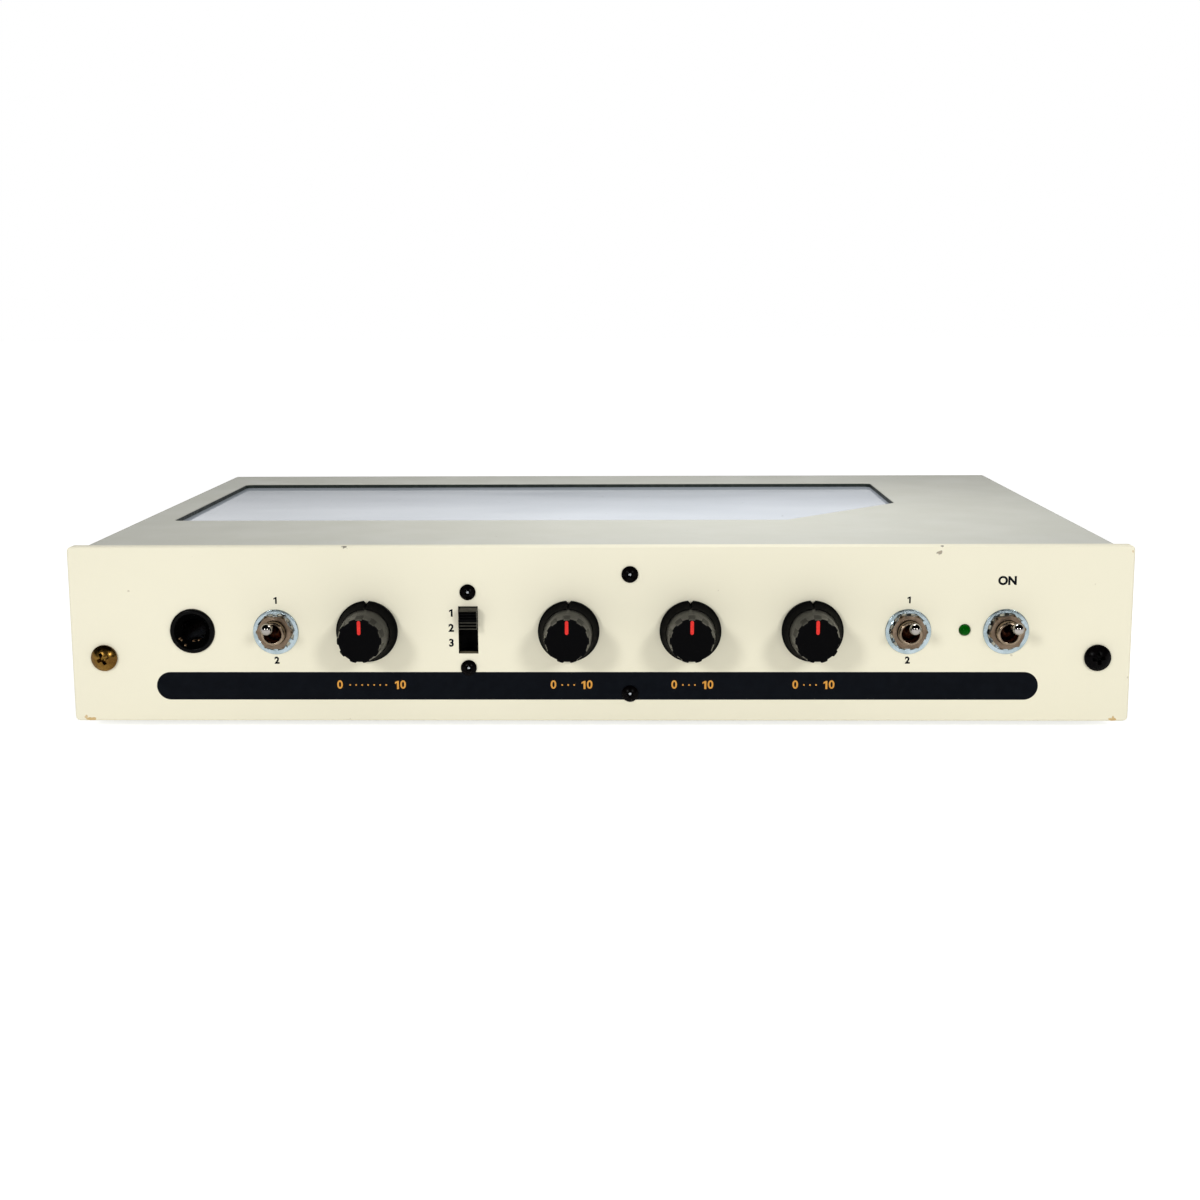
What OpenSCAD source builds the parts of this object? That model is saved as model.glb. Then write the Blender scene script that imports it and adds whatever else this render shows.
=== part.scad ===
// Tape echo unit: a low cream case with a window over its tape transport, and a front
// panel that holds a jack, three toggle switches, four knobs, a slide switch and a lamp.
// Millimetres, X to the right, Y to the back, Z up. Inside the modules Y = 0 is the front
// face of the panel and Z = 0 its lower edge; in_place() sets that frame over the origin,
// which is the middle of the whole outline, at the underside of the feet.

/* [Case] */
// Width of the front panel
panel_w = 280; // [276:1:320]
// Height of the front panel
panel_h = 47; // [45:0.5:60]
// Thickness of the front panel
panel_t = 3; // [2:0.5:4]
// Radius of the corners of the front panel
panel_corner_r = 1.5; // [0.8:0.1:4]
// Chamfer round the front face of the panel
panel_edge = 0.4; // [0.1:0.1:0.8]
// How far the panel stands out past each side of the cover
side_overhang = 3.2; // [2.4:0.1:4]
// Depth from the front face of the panel to the back of the cover
case_depth = 183; // [181:1:210]
// Thickness of the folded sheet steel
sheet_t = 1.2; // [0.8:0.1:1.6]
// Outer radius of the folds of the cover
bend_r = 2.4; // [1.8:0.1:4]
// Height of the lip that folds down over the back wall
rear_lip_h = 10; // [6:1:14]
// Height of the turned-up sides of the tray
flange_h = 14; // [12:1:20]
// Height of the rubber feet
foot_h = 2.5; // [2:0.5:8]
// Radius of the rubber feet
foot_r = 6.5; // [5:0.5:9]
// Distance of the feet from the sides of the cover
foot_inset_x = 18.8; // [12:0.5:40]
// Distance of the front feet behind the panel face
foot_front_y = 26; // [20:1:40]
// Distance of the rear feet from the back of the cover
foot_rear_inset = 20; // [12:1:40]

/* [Window] */
// Distance from the left side of the cover to the window
window_left_inset = 11.3; // [10:0.1:14]
// Distance from the right side of the cover to the window
window_right_inset = 45.8; // [40:0.1:48]
// Front edge of the window behind the panel face
window_front = 53.8; // [50:0.1:56]
// Distance from the back of the cover to the rear edge of the window
window_rear_inset = 29.5; // [25:0.1:31]
// Length of the slanted corner of the window along X
window_cut_x = 37; // [25:0.5:40]
// Length of the slanted corner of the window along Y
window_cut_y = 41.5; // [25:0.5:44]
// Radius of the corners of the window
window_corner_r = 2; // [0.5:0.1:4]
// Thickness of the window pane
pane_t = 2; // [1:0.5:3]
// How far the pane reaches under the cover
pane_lap = 5; // [3:0.5:7]

/* [Front layout] */
// Height of the row of controls above the lower edge of the panel
row_z = 24.4; // [22:0.1:28]
// Height of the knobs and the lamp above the row of the jack and the toggles
knob_rise = 0.2; // [-2:0.1:2]
// Place of the input jack
jack_x = -107.5; // [-109:0.5:-105]
// Place of the attenuator toggle
attenuator_x = -85.3; // [-87:0.5:-83]
// Place of the mode switch
mode_x = -34.3; // [-36:0.1:-32]
// Place of the echo cancel toggle
cancel_x = 81.5; // [80:0.5:83]
// Place of the power lamp
led_x = 96.3; // [95:0.1:98]
// Place of the power toggle
power_x = 107.1; // [106:0.1:109]
// Place of the input volume knob
volume_x = -60.9; // [-64:0.1:-59]
// Place of the echo knob
echo_x = -7.7; // [-9:0.1:-6]
// Place of the repeat knob
repeat_x = 24.3; // [23:0.1:28]
// Place of the time knob
time_x = 56.3; // [54:0.1:60]
// Distance of the side screws from the ends of the panel
side_screw_inset = 8.75; // [8:0.05:10]
// Height of the side screws
side_screw_z = 17.2; // [10:0.1:30]
// Place of the two screws in the middle of the panel
centre_screw_x = 8.4; // [7.5:0.1:9]
// Distance of the middle screws from the upper and lower edge
centre_screw_inset = 7.5; // [6:0.1:9]
// Distance between the two screws of the mode switch
switch_screw_span = 20.3; // [19:0.1:24]

/* [Knobs] */
// Radius of the skirt of a knob
skirt_r = 8.1; // [7.5:0.1:9]
// Thickness of the rim of the skirt
skirt_h = 1.6; // [1:0.1:3]
// Radius of the body of a knob where it meets the skirt
knob_r = 6.5; // [5.8:0.1:7]
// Radius of the face of a knob
knob_face_r = 5.75; // [5:0.05:6.5]
// Height of a knob
knob_h = 14.5; // [12:0.5:20]
// Air gap between a knob and the panel
knob_gap = 0.8; // [0.5:0.1:2]
// Number of flutes round a knob
flutes = 10; // [6:1:14]
// Depth of the flutes at the face
flute_d = 0.35; // [0.15:0.05:0.6]
// Width of the flutes
flute_w = 1.8; // [1:0.1:2.2]
// Length of the flutes, from the face
flute_l = 3.9; // [2:0.1:7]
// Width of the pointer line
pointer_w = 1.1; // [0.6:0.1:2]
// Length of the pointer line
pointer_l = 4; // [2:0.5:5]
// Distance of the pointer line from the edge of the face
pointer_inset = 0.45; // [0.4:0.05:0.8]
// Depth of the groove of the pointer line
pointer_d = 0.4; // [0.2:0.1:0.8]
// Radius of a potentiometer shaft
pot_shaft_r = 3; // [2.5:0.1:3.2]
// Radius of the threaded bushing of a potentiometer
pot_bush_r = 3.8; // [3.6:0.1:4.2]
// Radius of the can of a potentiometer
pot_body_r = 8.2; // [7.5:0.1:9]
// Depth of the can of a potentiometer
pot_body_l = 8; // [6:0.5:14]

/* [Switches] */
// Radius of the bushing of a toggle
toggle_bush_r = 3.175; // [3:0.025:3.3]
// Radius of the mouth of the bushing
toggle_mouth_r = 2.5; // [2.4:0.05:2.6]
// How far the bushing stands out of the panel
toggle_bush_out = 4.8; // [4.2:0.1:5]
// Width of a toggle nut over its flats
toggle_nut_af = 8.6; // [8:0.1:9]
// Height of a toggle nut
toggle_nut_h = 2; // [1.5:0.1:2.5]
// Radius of the lock washer of a toggle
washer_r = 6; // [5.4:0.1:7]
// Thickness of the lock washer
washer_t = 0.5; // [0.3:0.1:0.6]
// Teeth of the lock washer
washer_teeth = 12; // [8:1:16]
// Length of a lever from its pivot to the middle of its tip
lever_l = 13.2; // [12:0.1:18]
// Radius of the tip of a lever
lever_tip_r = 1.5; // [1.2:0.1:2]
// Tilt of a lever away from straight out
lever_tilt = 11.5; // [8:0.5:13]
// Width of the slider of the mode switch
slider_w = 4.5; // [4:0.1:5]
// Height of the slider of the mode switch
slider_h = 5.4; // [4:0.1:6]
// How far the slider stands out of the panel
slider_out = 4; // [2:0.1:5]
// Distance between the positions of the mode switch
slider_step = 3.3; // [3:0.1:4.2]
// Clearance round the slider in the panel
slider_gap = 0.35; // [0.1:0.05:0.4]

/* [Jacks and lamp] */
// Radius of the nose of the input jack
jack_nose_r = 5.9; // [5.6:0.1:6.5]
// Radius of the mouth of the input jack
jack_mouth_r = 4.7; // [4:0.1:5]
// Radius of the bore for a quarter inch plug
plug_bore_r = 3.25; // [3.2:0.01:3.4]
// Depth of the body of a jack
jack_body_l = 20; // [16:1:21]
// Distance of the output jack from the left side of the tray
output_jack_inset = 40.6; // [36:0.1:44]
// Distance between the output jack and the remote jack
rear_jack_pitch = 33; // [28:1:40]
// Distance of the power inlet from the right side of the tray
inlet_inset = 25.6; // [18:0.1:32]
// Radius of the hole of the power inlet
inlet_bore_r = 2.9; // [2.7:0.1:3.2]
// Radius of the pin of the power inlet
inlet_pin_r = 1.05; // [0.9:0.05:1.3]
// Radius of the lamp
led_r = 1.5; // [1.4:0.1:2.5]

/* [Tape transport] */
// Free height between the deck plate and the window pane
transport_room = 19.8; // [18.8:0.1:20.8]
// Thickness of the deck plate
deck_t = 2; // [1.5:0.5:3]
// Radius of the guide rollers
roller_r = 6; // [5:0.5:7]
// Radius of the posts that the rollers turn on
post_r = 2; // [1.5:0.1:2.5]
// Radius of the capstan
capstan_r = 3; // [2:0.1:4]
// Radius of the flywheel
flywheel_r = 20; // [14:0.5:22]
// Height of the flywheel
flywheel_h = 5; // [4:0.5:6]
// Radius of the pinch roller
pinch_r = 8; // [6.5:0.5:8.5]
// Radius of the motor
motor_r = 13.5; // [10:0.5:15]
// Height of the motor
motor_h = 15; // [10:0.5:17]
// Radius of the pulley on the motor
pulley_r = 5; // [3:0.5:8]
// Width of the tape
tape_w = 6.35; // [5:0.05:6.5]
// Thickness of the tape band
tape_t = 0.3; // [0.2:0.05:0.4]
// Clearance between the tape and what it runs over
tape_gap = 0.2; // [0.1:0.05:0.3]
// Thickness of the drive belt
belt_t = 1.2; // [0.8:0.1:2]
// Width of a tape head
head_w = 10; // [8:0.5:12]
// Height of a tape head
head_h = 13; // [11:0.5:14]

/* [Circuit board] */
// Height of the short posts under the circuit board
board_post_h = 4; // [3:0.5:5]
// Thickness of the circuit board
board_t = 1.6; // [1:0.2:2]

/* [Fits] */
// Clearance between a shaft and the bore it turns in
running_fit = 0.05; // [0.02:0.01:0.1]
// Clearance between a fixed pin or nose and its hole
hole_fit = 0.1; // [0.05:0.01:0.2]

/* [Hidden] */
$fn = 48;
eps = 0.01;

// Case
half_w = panel_w / 2 - side_overhang;
tray_half_w = half_w - sheet_t;
tray_back = case_depth - sheet_t;
cover_under = panel_h - sheet_t;
floor_top = sheet_t;
wall_inside = tray_back - sheet_t;
wall_top = cover_under - bend_r + sheet_t - 0.1;
foot_places = [for (x = [-half_w + foot_inset_x, half_w - foot_inset_x])
    for (y = [foot_front_y, case_depth - foot_rear_inset]) [x, y]];
foot_screw_r = 1.5;
foot_head_r = 3;
side_screw_x = panel_w / 2 - side_screw_inset;
centre_screw_zs = [centre_screw_inset, panel_h - centre_screw_inset];
side_thread_r = 2;
side_head_r = 3.5;
side_head_h = 2.2;
small_thread_r = 1.3;
small_head_r = 2.2;
small_head_h = 1.3;
bracket_t = 2;
bracket_half_w = 3;
bracket_foot = 12;
cover_screw_ys = [32, case_depth - 22];
cover_screw_z = 8;
cover_thread_r = 1.5;
cover_head_r = 2.8;
cover_head_h = 1.7;

// Window and pane
win_x0 = -half_w + window_left_inset;
win_x1 = half_w - window_right_inset;
window_rear = case_depth - window_rear_inset;
pane_top = cover_under;
pane_bottom = pane_top - pane_t;

// Front controls
knob_places = [volume_x, echo_x, repeat_x, time_x];
toggle_places = [attenuator_x, cancel_x, power_x];
knob_reach = knob_gap + knob_h;
knob_z = row_z + knob_rise;
slope_h = 3;
notch_d = 0.8;
knob_cavity_r = 5.6;
knob_cavity_d = 2.6;
knob_bore_top = knob_h - 2.5;
shaft_end = knob_gap + knob_bore_top - 0.5;
pot_nut_af = 9;
pot_nut_h = 2;
pot_body_y = panel_t + 0.5;
toggle_seat = washer_t + 0.3;
toggle_body = [7.9, 12.7, 9.6];
toggle_pivot = 1;
lever_neck_r = 0.85;
lever_neck_l = 6;
lever_ball_r = toggle_mouth_r - 0.1;
lever_tail_l = 5;
toggle_bore_end = toggle_pivot + lever_tail_l + 1;
lever_flat = 1.9;
lever_pin_r = 0.6;
lever_pin_reach = toggle_mouth_r - 0.15;
toggle_pin_pitch = 4.7;
switch_pin_pitch = 4;
pin_l = 4;
pin_t = 0.8;
lever_reach = lever_l * cos(lever_tilt) + lever_tip_r - toggle_pivot;
slider_z = row_z + 0.25;
slot_w = slider_w + 2 * slider_gap;
slot_h = slider_h + 2 * slider_step + 2 * slider_gap;
switch_screw_zs = [slider_z - switch_screw_span / 2, slider_z + switch_screw_span / 2];
switch_frame_w = 7;
switch_case_l = 7;
slider_foot = 4;
jack_lip = 0.8;
jack_body = [16, 20];
rear_nose_r = 4.6;
rear_nose_out = 3.2;
rear_nut_af = 12;
rear_nut_h = 2;
rear_z = row_z;
output_jack_x = -tray_half_w + output_jack_inset;
rear_jack_places = [output_jack_x, output_jack_x + rear_jack_pitch];
inlet_x = tray_half_w - inlet_inset;
inlet_body = [10, 12];
inlet_body_l = 14;
inlet_nose_r = 4.2;
inlet_nose_out = 0.6;

// Overall reach, which puts the origin under the middle of the outline
front_reach = max(knob_reach, lever_reach);
rear_reach = max(case_depth, tray_back + rear_nose_out);
middle_y = (rear_reach - front_reach) / 2;

// Transport, by its places in plan: front run, then each roller
deck_x0 = win_x0 - 3.5;
deck_x1 = win_x1 + 4;
deck_y0 = window_front - 3.8;
deck_y1 = window_rear + 3.5;
deck_top = pane_bottom - transport_room;
deck_bottom = deck_top - deck_t;
run_inset = 16.2;
left_roller_inset = 13.5;
rear_roller_inset = 11.5;
capstan_inset = 47;
run_y = window_front + run_inset;
capstan = [win_x1 - capstan_inset, run_y + capstan_r, capstan_r];
front_roller = [win_x0 + left_roller_inset, run_y + roller_r, roller_r];
right_roller = [win_x1 - 15, window_rear - 51.5, roller_r];
rear_roller = [win_x0 + left_roller_inset, window_rear - rear_roller_inset, roller_r];
tension_roller_at = [win_x1 - 21, rear_roller.y - 2, roller_r];
tension_pivot = [tension_roller_at.x + 18, tension_roller_at.y - 18];
pinch_arm_x = 26;
pinch_arm_y = 5.3;
pinch_at = [capstan.x, run_y - 2 * tape_gap - tape_t - pinch_r];
pinch_pivot = [pinch_at.x - pinch_arm_x, pinch_at.y - pinch_arm_y];
motor_off_x = 44;
motor_off_y = 42;
motor_at = [capstan.x - motor_off_x, run_y + motor_off_y, pulley_r];
tape_rise = 10;
tape_mid = deck_top + tape_rise;
roller_spare = 1.8;
roller_bottom = tape_mid - tape_w / 2 - roller_spare;
roller_top = tape_mid + tape_w / 2 + roller_spare;
flange_r = roller_r + 1;
flange_t = 1.2;
arm_t = 2;
arm_bottom = deck_top + 0.5;
arm_w = 9;
arm_pin_r = 1.5;
pin_top = roller_top + 1.5;
flywheel_top = deck_bottom - 4;
flywheel_bottom = flywheel_top - flywheel_h;
bearing_r = 5;
bearing_flange_r = 5.8;
bearing_drop = 2;
bearing_rise = 3;
shaft_r_small = 1;
belt_h = 3;
head_plate_t = 2;
head_base = deck_top + head_plate_t;
head_d = 12;
head_pitch = 19;
erase_gap = 4;
erase_x = front_roller.x + 30;
head_xs = [for (i = [1:4]) erase_x + erase_gap + i * head_pitch];
post_places = [front_roller, right_roller, rear_roller];
post_inset = 6;
mid_post_x = 80;
deck_posts = [
    [deck_x0 + post_inset, deck_y0 + post_inset], [deck_x0 + mid_post_x, deck_y0 + post_inset],
    [deck_x0 + post_inset, deck_y1 - post_inset], [deck_x1 - post_inset, deck_y1 - post_inset],
    [deck_x1 - 7, right_roller.y + 3]
];
post_body_r = 3.2;
screw_thread_r = 1.4;
screw_head_r = 2.6;
screw_head_h = 1.6;
board_z = floor_top + board_post_h;
board_top = board_z + board_t;
board_x = half_w - 8.8;
board_y0 = 28;
board_y1 = case_depth - 13;
board_post_inset = 5;
board_posts = [for (x = [-board_x + board_post_inset, board_x - board_post_inset])
    for (y = [board_y0 + board_post_inset, board_y1 - board_post_inset]) [x, y]];
chip = [10, 6.5, 3.2];
chip_at = [-60, 42];
chip_pitch = 20;
small_can = [2.5, 5];
small_can_at = [-96, 120];
small_can_pitch = 18;
large_can = [4, 12];
large_can_at = [104, 60];
large_can_pitch = 14;
coil_block = [16, 22, 12];
coil_block_at = [98, 120];

// Outline of a band that runs round the outside of circles [x, y, r], counterclockwise
function leave_angle(a, b) = atan2(b.y - a.y, b.x - a.x)
    - acos((a[2] - b[2]) / norm([b.x - a.x, b.y - a.y]));
function band_points(c, off) = [
    for (j = [0:len(c) - 1])
        let (before = c[(j + len(c) - 1) % len(c)], after = c[(j + 1) % len(c)],
            start = leave_angle(before, c[j]),
            sweep = (leave_angle(c[j], after) - start + 720) % 360,
            steps = ceil(sweep / 6))
        for (s = [0:steps])
            let (a = start + sweep * s / steps)
            [c[j].x + (c[j][2] + off) * cos(a), c[j].y + (c[j][2] + off) * sin(a)]
];

// Puts a piece that is drawn in the panel's frame over the origin
module in_place() {
    translate([0, -middle_y, foot_h]) children();
}

// Turns +Z to the front, to the back, to the left or to the right
module to_front() { rotate([90, 0, 0]) children(); }
module to_back() { rotate([-90, 0, 0]) children(); }

module at_front(x, z, out = 0) {
    translate([x, -out, z]) to_front() children();
}

// Rectangle with round corners, drawn from its middle
module rounded(w, h, r) {
    square([w - 2 * r, h], center = true);
    square([w, h - 2 * r], center = true);
    for (x = [-1, 1], y = [-1, 1])
        translate([x * (w / 2 - r), y * (h / 2 - r)]) circle(r);
}

module ring(outer, inner, h) {
    difference() {
        cylinder(r = outer, h = h);
        translate([0, 0, -eps]) cylinder(r = inner, h = h + 2 * eps);
    }
}

module hex(af, h) {
    cylinder(r = af / sqrt(3), h = h, $fn = 6);
}

// Pan head screw with a cross recess: the head stands on Z = 0, the thread hangs below
module screw(head_r, head_h, thread_r, length) {
    dome_r = (head_r * head_r + head_h * head_h) / (2 * head_h);
    difference() {
        union() {
            intersection() {
                translate([0, 0, head_h - dome_r]) sphere(dome_r);
                cylinder(r = head_r, h = head_h + 1);
            }
            translate([0, 0, -length]) cylinder(r = thread_r, h = length + eps);
        }
        for (a = [0, 90])
            rotate(a) translate([-head_r * 0.55, -head_r * 0.12, head_h * 0.45])
                cube([head_r * 1.1, head_r * 0.24, head_h]);
    }
}

// ---------- Case ----------

module panel_blank() {
    intersection() {
        translate([0, panel_t, panel_h / 2]) to_front()
            linear_extrude(panel_t) rounded(panel_w, panel_h, panel_corner_r);
        rotate([90, 0, 90]) translate([0, 0, -panel_w / 2])
            linear_extrude(panel_w)
                polygon([[panel_edge, 0], [panel_t, 0], [panel_t, panel_h],
                    [panel_edge, panel_h], [0, panel_h - panel_edge], [0, panel_edge]]);
        linear_extrude(panel_h)
            polygon([[-panel_w / 2 + panel_edge, 0], [panel_w / 2 - panel_edge, 0],
                [panel_w / 2, panel_edge], [panel_w / 2, panel_t], [-panel_w / 2, panel_t],
                [-panel_w / 2, panel_edge]]);
    }
}

module panel_hole(x, z, r) {
    translate([x, panel_t + 1, z]) to_front() cylinder(r = r, h = panel_t + 2);
}

module front_panel() {
    in_place() color("wheat") difference() {
        panel_blank();
        panel_hole(jack_x, row_z, jack_nose_r + hole_fit);
        panel_hole(led_x, knob_z, led_r + hole_fit);
        for (x = knob_places)
            panel_hole(x, knob_z, pot_bush_r + hole_fit);
        for (x = toggle_places)
            panel_hole(x, row_z, toggle_bush_r + hole_fit);
        for (x = [-side_screw_x, side_screw_x])
            panel_hole(x, side_screw_z, side_thread_r + hole_fit);
        for (z = centre_screw_zs)
            panel_hole(centre_screw_x, z, small_thread_r + hole_fit);
        for (z = switch_screw_zs)
            panel_hole(mode_x, z, small_thread_r + hole_fit);
        translate([mode_x - slot_w / 2, -1, slider_z - slot_h / 2])
            cube([slot_w, panel_t + 2, slot_h]);
    }
}

module chassis_tray() {
    depth = tray_back - panel_t;
    in_place() color("silver") difference() {
        union() {
            translate([-tray_half_w, panel_t, 0]) cube([2 * tray_half_w, depth, sheet_t]);
            translate([-tray_half_w, wall_inside, 0])
                cube([2 * tray_half_w, sheet_t, wall_top]);
            for (x = [-tray_half_w, tray_half_w - sheet_t])
                translate([x, panel_t, 0]) cube([sheet_t, depth, flange_h]);
        }
        for (p = foot_places)
            translate([p.x, p.y, -1]) cylinder(r = foot_screw_r + hole_fit, h = sheet_t + 2);
        for (x = rear_jack_places)
            translate([x, wall_inside - 1, rear_z]) to_back()
                cylinder(r = rear_nose_r + hole_fit, h = sheet_t + 2);
        translate([inlet_x, wall_inside - 1, rear_z]) to_back()
            cylinder(r = inlet_nose_r + hole_fit, h = sheet_t + 2);
        for (y = cover_screw_ys)
            translate([-tray_half_w - 1, y, cover_screw_z]) rotate([0, 90, 0])
                cylinder(r = cover_thread_r + hole_fit, h = 2 * tray_half_w + 2);
    }
}

// A block with round top edges at both sides and at the back
module cover_block(inset, r) {
    w = half_w - inset;
    back = case_depth - inset;
    top = panel_h - inset;
    intersection() {
        translate([0, case_depth + 1, 0]) to_front() linear_extrude(case_depth + 1) union() {
            translate([-w, -1]) square([2 * w, top - r + 1]);
            translate([-w + r, -1]) square([2 * (w - r), top + 1]);
            for (x = [-w + r, w - r])
                translate([x, top - r]) circle(r);
        }
        rotate([90, 0, 90]) translate([0, 0, -w - 1]) linear_extrude(2 * w + 2) union() {
            translate([-1, -1]) square([back + 1, top - r + 1]);
            translate([-1, -1]) square([back - r + 1, top + 1]);
            translate([back - r, top - r]) circle(r);
        }
    }
}

// Outline of the window, grown by g on every side
module window_outline(g, r) {
    x0 = win_x0 - g;
    x1 = win_x1 + g;
    y0 = window_front - g;
    y1 = window_rear + g;
    cut = g * 0.42;
    difference() {
        translate([(x0 + x1) / 2, (y0 + y1) / 2]) rounded(x1 - x0, y1 - y0, r);
        polygon([[x1 - window_cut_x - cut, y0 - 1], [x1 + 1, y0 - 1],
            [x1 + 1, y0 + window_cut_y + cut], [x1, y0 + window_cut_y + cut],
            [x1 - window_cut_x - cut, y0]]);
    }
}

module top_cover() {
    in_place() color("wheat") difference() {
        cover_block(0, bend_r);
        cover_block(sheet_t, bend_r - sheet_t);
        translate([-half_w - 1, -1, -5]) cube([2 * half_w + 2, panel_t + 1, panel_h + 10]);
        translate([-half_w - 1, -1, -5]) cube([2 * half_w + 2, case_depth + 5, 5]);
        translate([-tray_half_w, tray_back - 1, -5])
            cube([2 * tray_half_w, 10, panel_h - rear_lip_h + 5]);
        translate([0, 0, cover_under - 1]) linear_extrude(5)
            window_outline(0, window_corner_r);
        for (y = cover_screw_ys)
            translate([-half_w - 1, y, cover_screw_z]) rotate([0, 90, 0])
                cylinder(r = cover_thread_r + hole_fit, h = 2 * half_w + 2);
    }
}

module window_pane() {
    in_place() color("lightsteelblue", 0.5)
        translate([0, 0, pane_bottom]) linear_extrude(pane_t)
            window_outline(pane_lap, window_corner_r + pane_lap);
}

// Angle with an upright behind the panel and a foot on the tray; reach is how
// far it runs past its screws towards the nearer side of the tray
module angle_bracket(x, holes, h, reach = bracket_half_w) {
    x0 = x < 0 ? x - reach : x - bracket_half_w;
    w = bracket_half_w + reach;
    difference() {
        union() {
            translate([x0, panel_t, floor_top]) cube([w, bracket_t, h]);
            translate([x0, panel_t, floor_top]) cube([w, bracket_foot, bracket_t]);
        }
        for (z = holes[0])
            translate([x, panel_t - 1, z]) to_back()
                cylinder(r = holes[1] + hole_fit, h = bracket_t + 2);
    }
}

module panel_brackets() {
    in_place() color("silver") {
        for (x = [-side_screw_x, side_screw_x])
            angle_bracket(x, [[side_screw_z], side_thread_r], side_screw_z + 6,
                tray_half_w - sheet_t - side_screw_x);
        angle_bracket(centre_screw_x, [centre_screw_zs, small_thread_r],
            cover_under - floor_top - 0.5);
    }
}

module rubber_feet() {
    in_place() color("dimgray") for (p = foot_places)
        translate([p.x, p.y, -foot_h]) difference() {
            union() {
                cylinder(r1 = foot_r - 0.6, r2 = foot_r, h = 0.8);
                translate([0, 0, 0.8 - eps]) cylinder(r = foot_r, h = foot_h - 0.8 + eps);
            }
            translate([0, 0, -1]) cylinder(r = foot_screw_r + hole_fit, h = foot_h + 2);
            translate([0, 0, -1]) cylinder(r = foot_head_r + 0.3, h = 1 + foot_h * 0.6);
        }
}

module foot_screws() {
    in_place() color("silver") for (p = foot_places)
        translate([p.x, p.y, -foot_h * 0.4]) rotate([180, 0, 0])
            screw(foot_head_r, foot_h * 0.45, foot_screw_r, foot_h * 0.4 + sheet_t + 1.5);
}

module side_screw_left() {
    in_place() color("goldenrod") at_front(-side_screw_x, side_screw_z)
        screw(side_head_r, side_head_h, side_thread_r, panel_t + bracket_t + 4);
}

module side_screw_right() {
    in_place() color("black") at_front(side_screw_x, side_screw_z)
        screw(side_head_r, side_head_h, side_thread_r, panel_t + bracket_t + 4);
}

module centre_screws() {
    in_place() color("black") for (z = centre_screw_zs)
        at_front(centre_screw_x, z)
            screw(small_head_r, small_head_h, small_thread_r, panel_t + bracket_t + 3);
}

module cover_screws() {
    in_place() color("black") for (y = cover_screw_ys, s = [-1, 1])
        translate([s * half_w, y, cover_screw_z]) rotate([0, s * 90, 0])
            screw(cover_head_r, cover_head_h, cover_thread_r, 2 * sheet_t + 2.5);
}

module switch_screws() {
    in_place() color("black") for (z = switch_screw_zs)
        at_front(mode_x, z)
            screw(small_head_r - 0.1, small_head_h, small_thread_r, panel_t + 3);
}

// ---------- Knobs and potentiometers ----------

// Half outline of a knob: a rim, a hollowed slope up to the fluted body, a flat face
function slope_points(n) = [for (i = [0:n]) let (a = 90 * i / n)
    [knob_r + (skirt_r - 0.3 - knob_r) * (1 - sin(a)), skirt_h + slope_h * (1 - cos(a))]];

module knob(x) {
    in_place() color("black") at_front(x, knob_z, knob_gap) difference() {
        rotate_extrude() polygon(concat(
            [[0, 0], [skirt_r - 0.3, 0], [skirt_r, 0.3], [skirt_r, skirt_h - 0.3]],
            slope_points(6),
            [[knob_face_r + 0.15, knob_h - 0.3], [knob_face_r - 0.15, knob_h], [0, knob_h]]));
        for (i = [0:flutes - 1])
            rotate(90 + 360 * i / flutes)
                translate([knob_face_r - flute_d, -flute_w / 2, knob_h - flute_l])
                    cube([flute_d + 1, flute_w, flute_l + 1]);
        translate([0, 0, -1]) cylinder(r = knob_cavity_r, h = knob_cavity_d + 1);
        cylinder(r = pot_shaft_r + running_fit, h = knob_bore_top);
        translate([-pointer_w / 2, knob_face_r - pointer_inset - pointer_l, knob_h - pointer_d])
            cube([pointer_w, pointer_l, pointer_d + 1]);
        translate([0, skirt_r - notch_d, -1]) rotate(45) cube([1, 1, skirt_h + 2]);
    }
}

module pot_shaft(x) {
    in_place() color("silver") translate([x, pot_body_y + 2, knob_z]) to_front()
        cylinder(r = pot_shaft_r, h = pot_body_y + 2 + shaft_end);
}

module knob_volume() { knob(volume_x); }
module knob_echo() { knob(echo_x); }
module knob_repeat() { knob(repeat_x); }
module knob_time() { knob(time_x); }
module shaft_volume() { pot_shaft(volume_x); }
module shaft_echo() { pot_shaft(echo_x); }
module shaft_repeat() { pot_shaft(repeat_x); }
module shaft_time() { pot_shaft(time_x); }

module pot_bodies() {
    bush_top = knob_gap + knob_cavity_d - 0.5;
    in_place() color("darkseagreen") for (x = knob_places)
        translate([x, 0, knob_z]) difference() {
            union() {
                translate([0, pot_body_y, 0]) to_front()
                    cylinder(r = pot_bush_r, h = pot_body_y + bush_top);
                translate([0, panel_t, 0]) to_back() cylinder(r = pot_bush_r + 1.6, h = 0.5 + eps);
                translate([0, pot_body_y, 0]) to_back() cylinder(r = pot_body_r, h = pot_body_l);
                for (s = [-1, 0, 1])
                    translate([s * 5 - 0.6, pot_body_y + 2, -pot_body_r - 4])
                        cube([1.2, 0.8, 6]);
            }
            translate([0, pot_body_y + 2 + running_fit, 0]) to_front()
                cylinder(r = pot_shaft_r + running_fit, h = pot_body_y + bush_top + 10);
        }
}

module pot_nuts() {
    in_place() color("silver") for (x = knob_places)
        at_front(x, knob_z) difference() {
            hex(pot_nut_af, pot_nut_h);
            translate([0, 0, -1]) cylinder(r = pot_bush_r + hole_fit, h = pot_nut_h + 2);
        }
}

// ---------- Switches ----------

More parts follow.
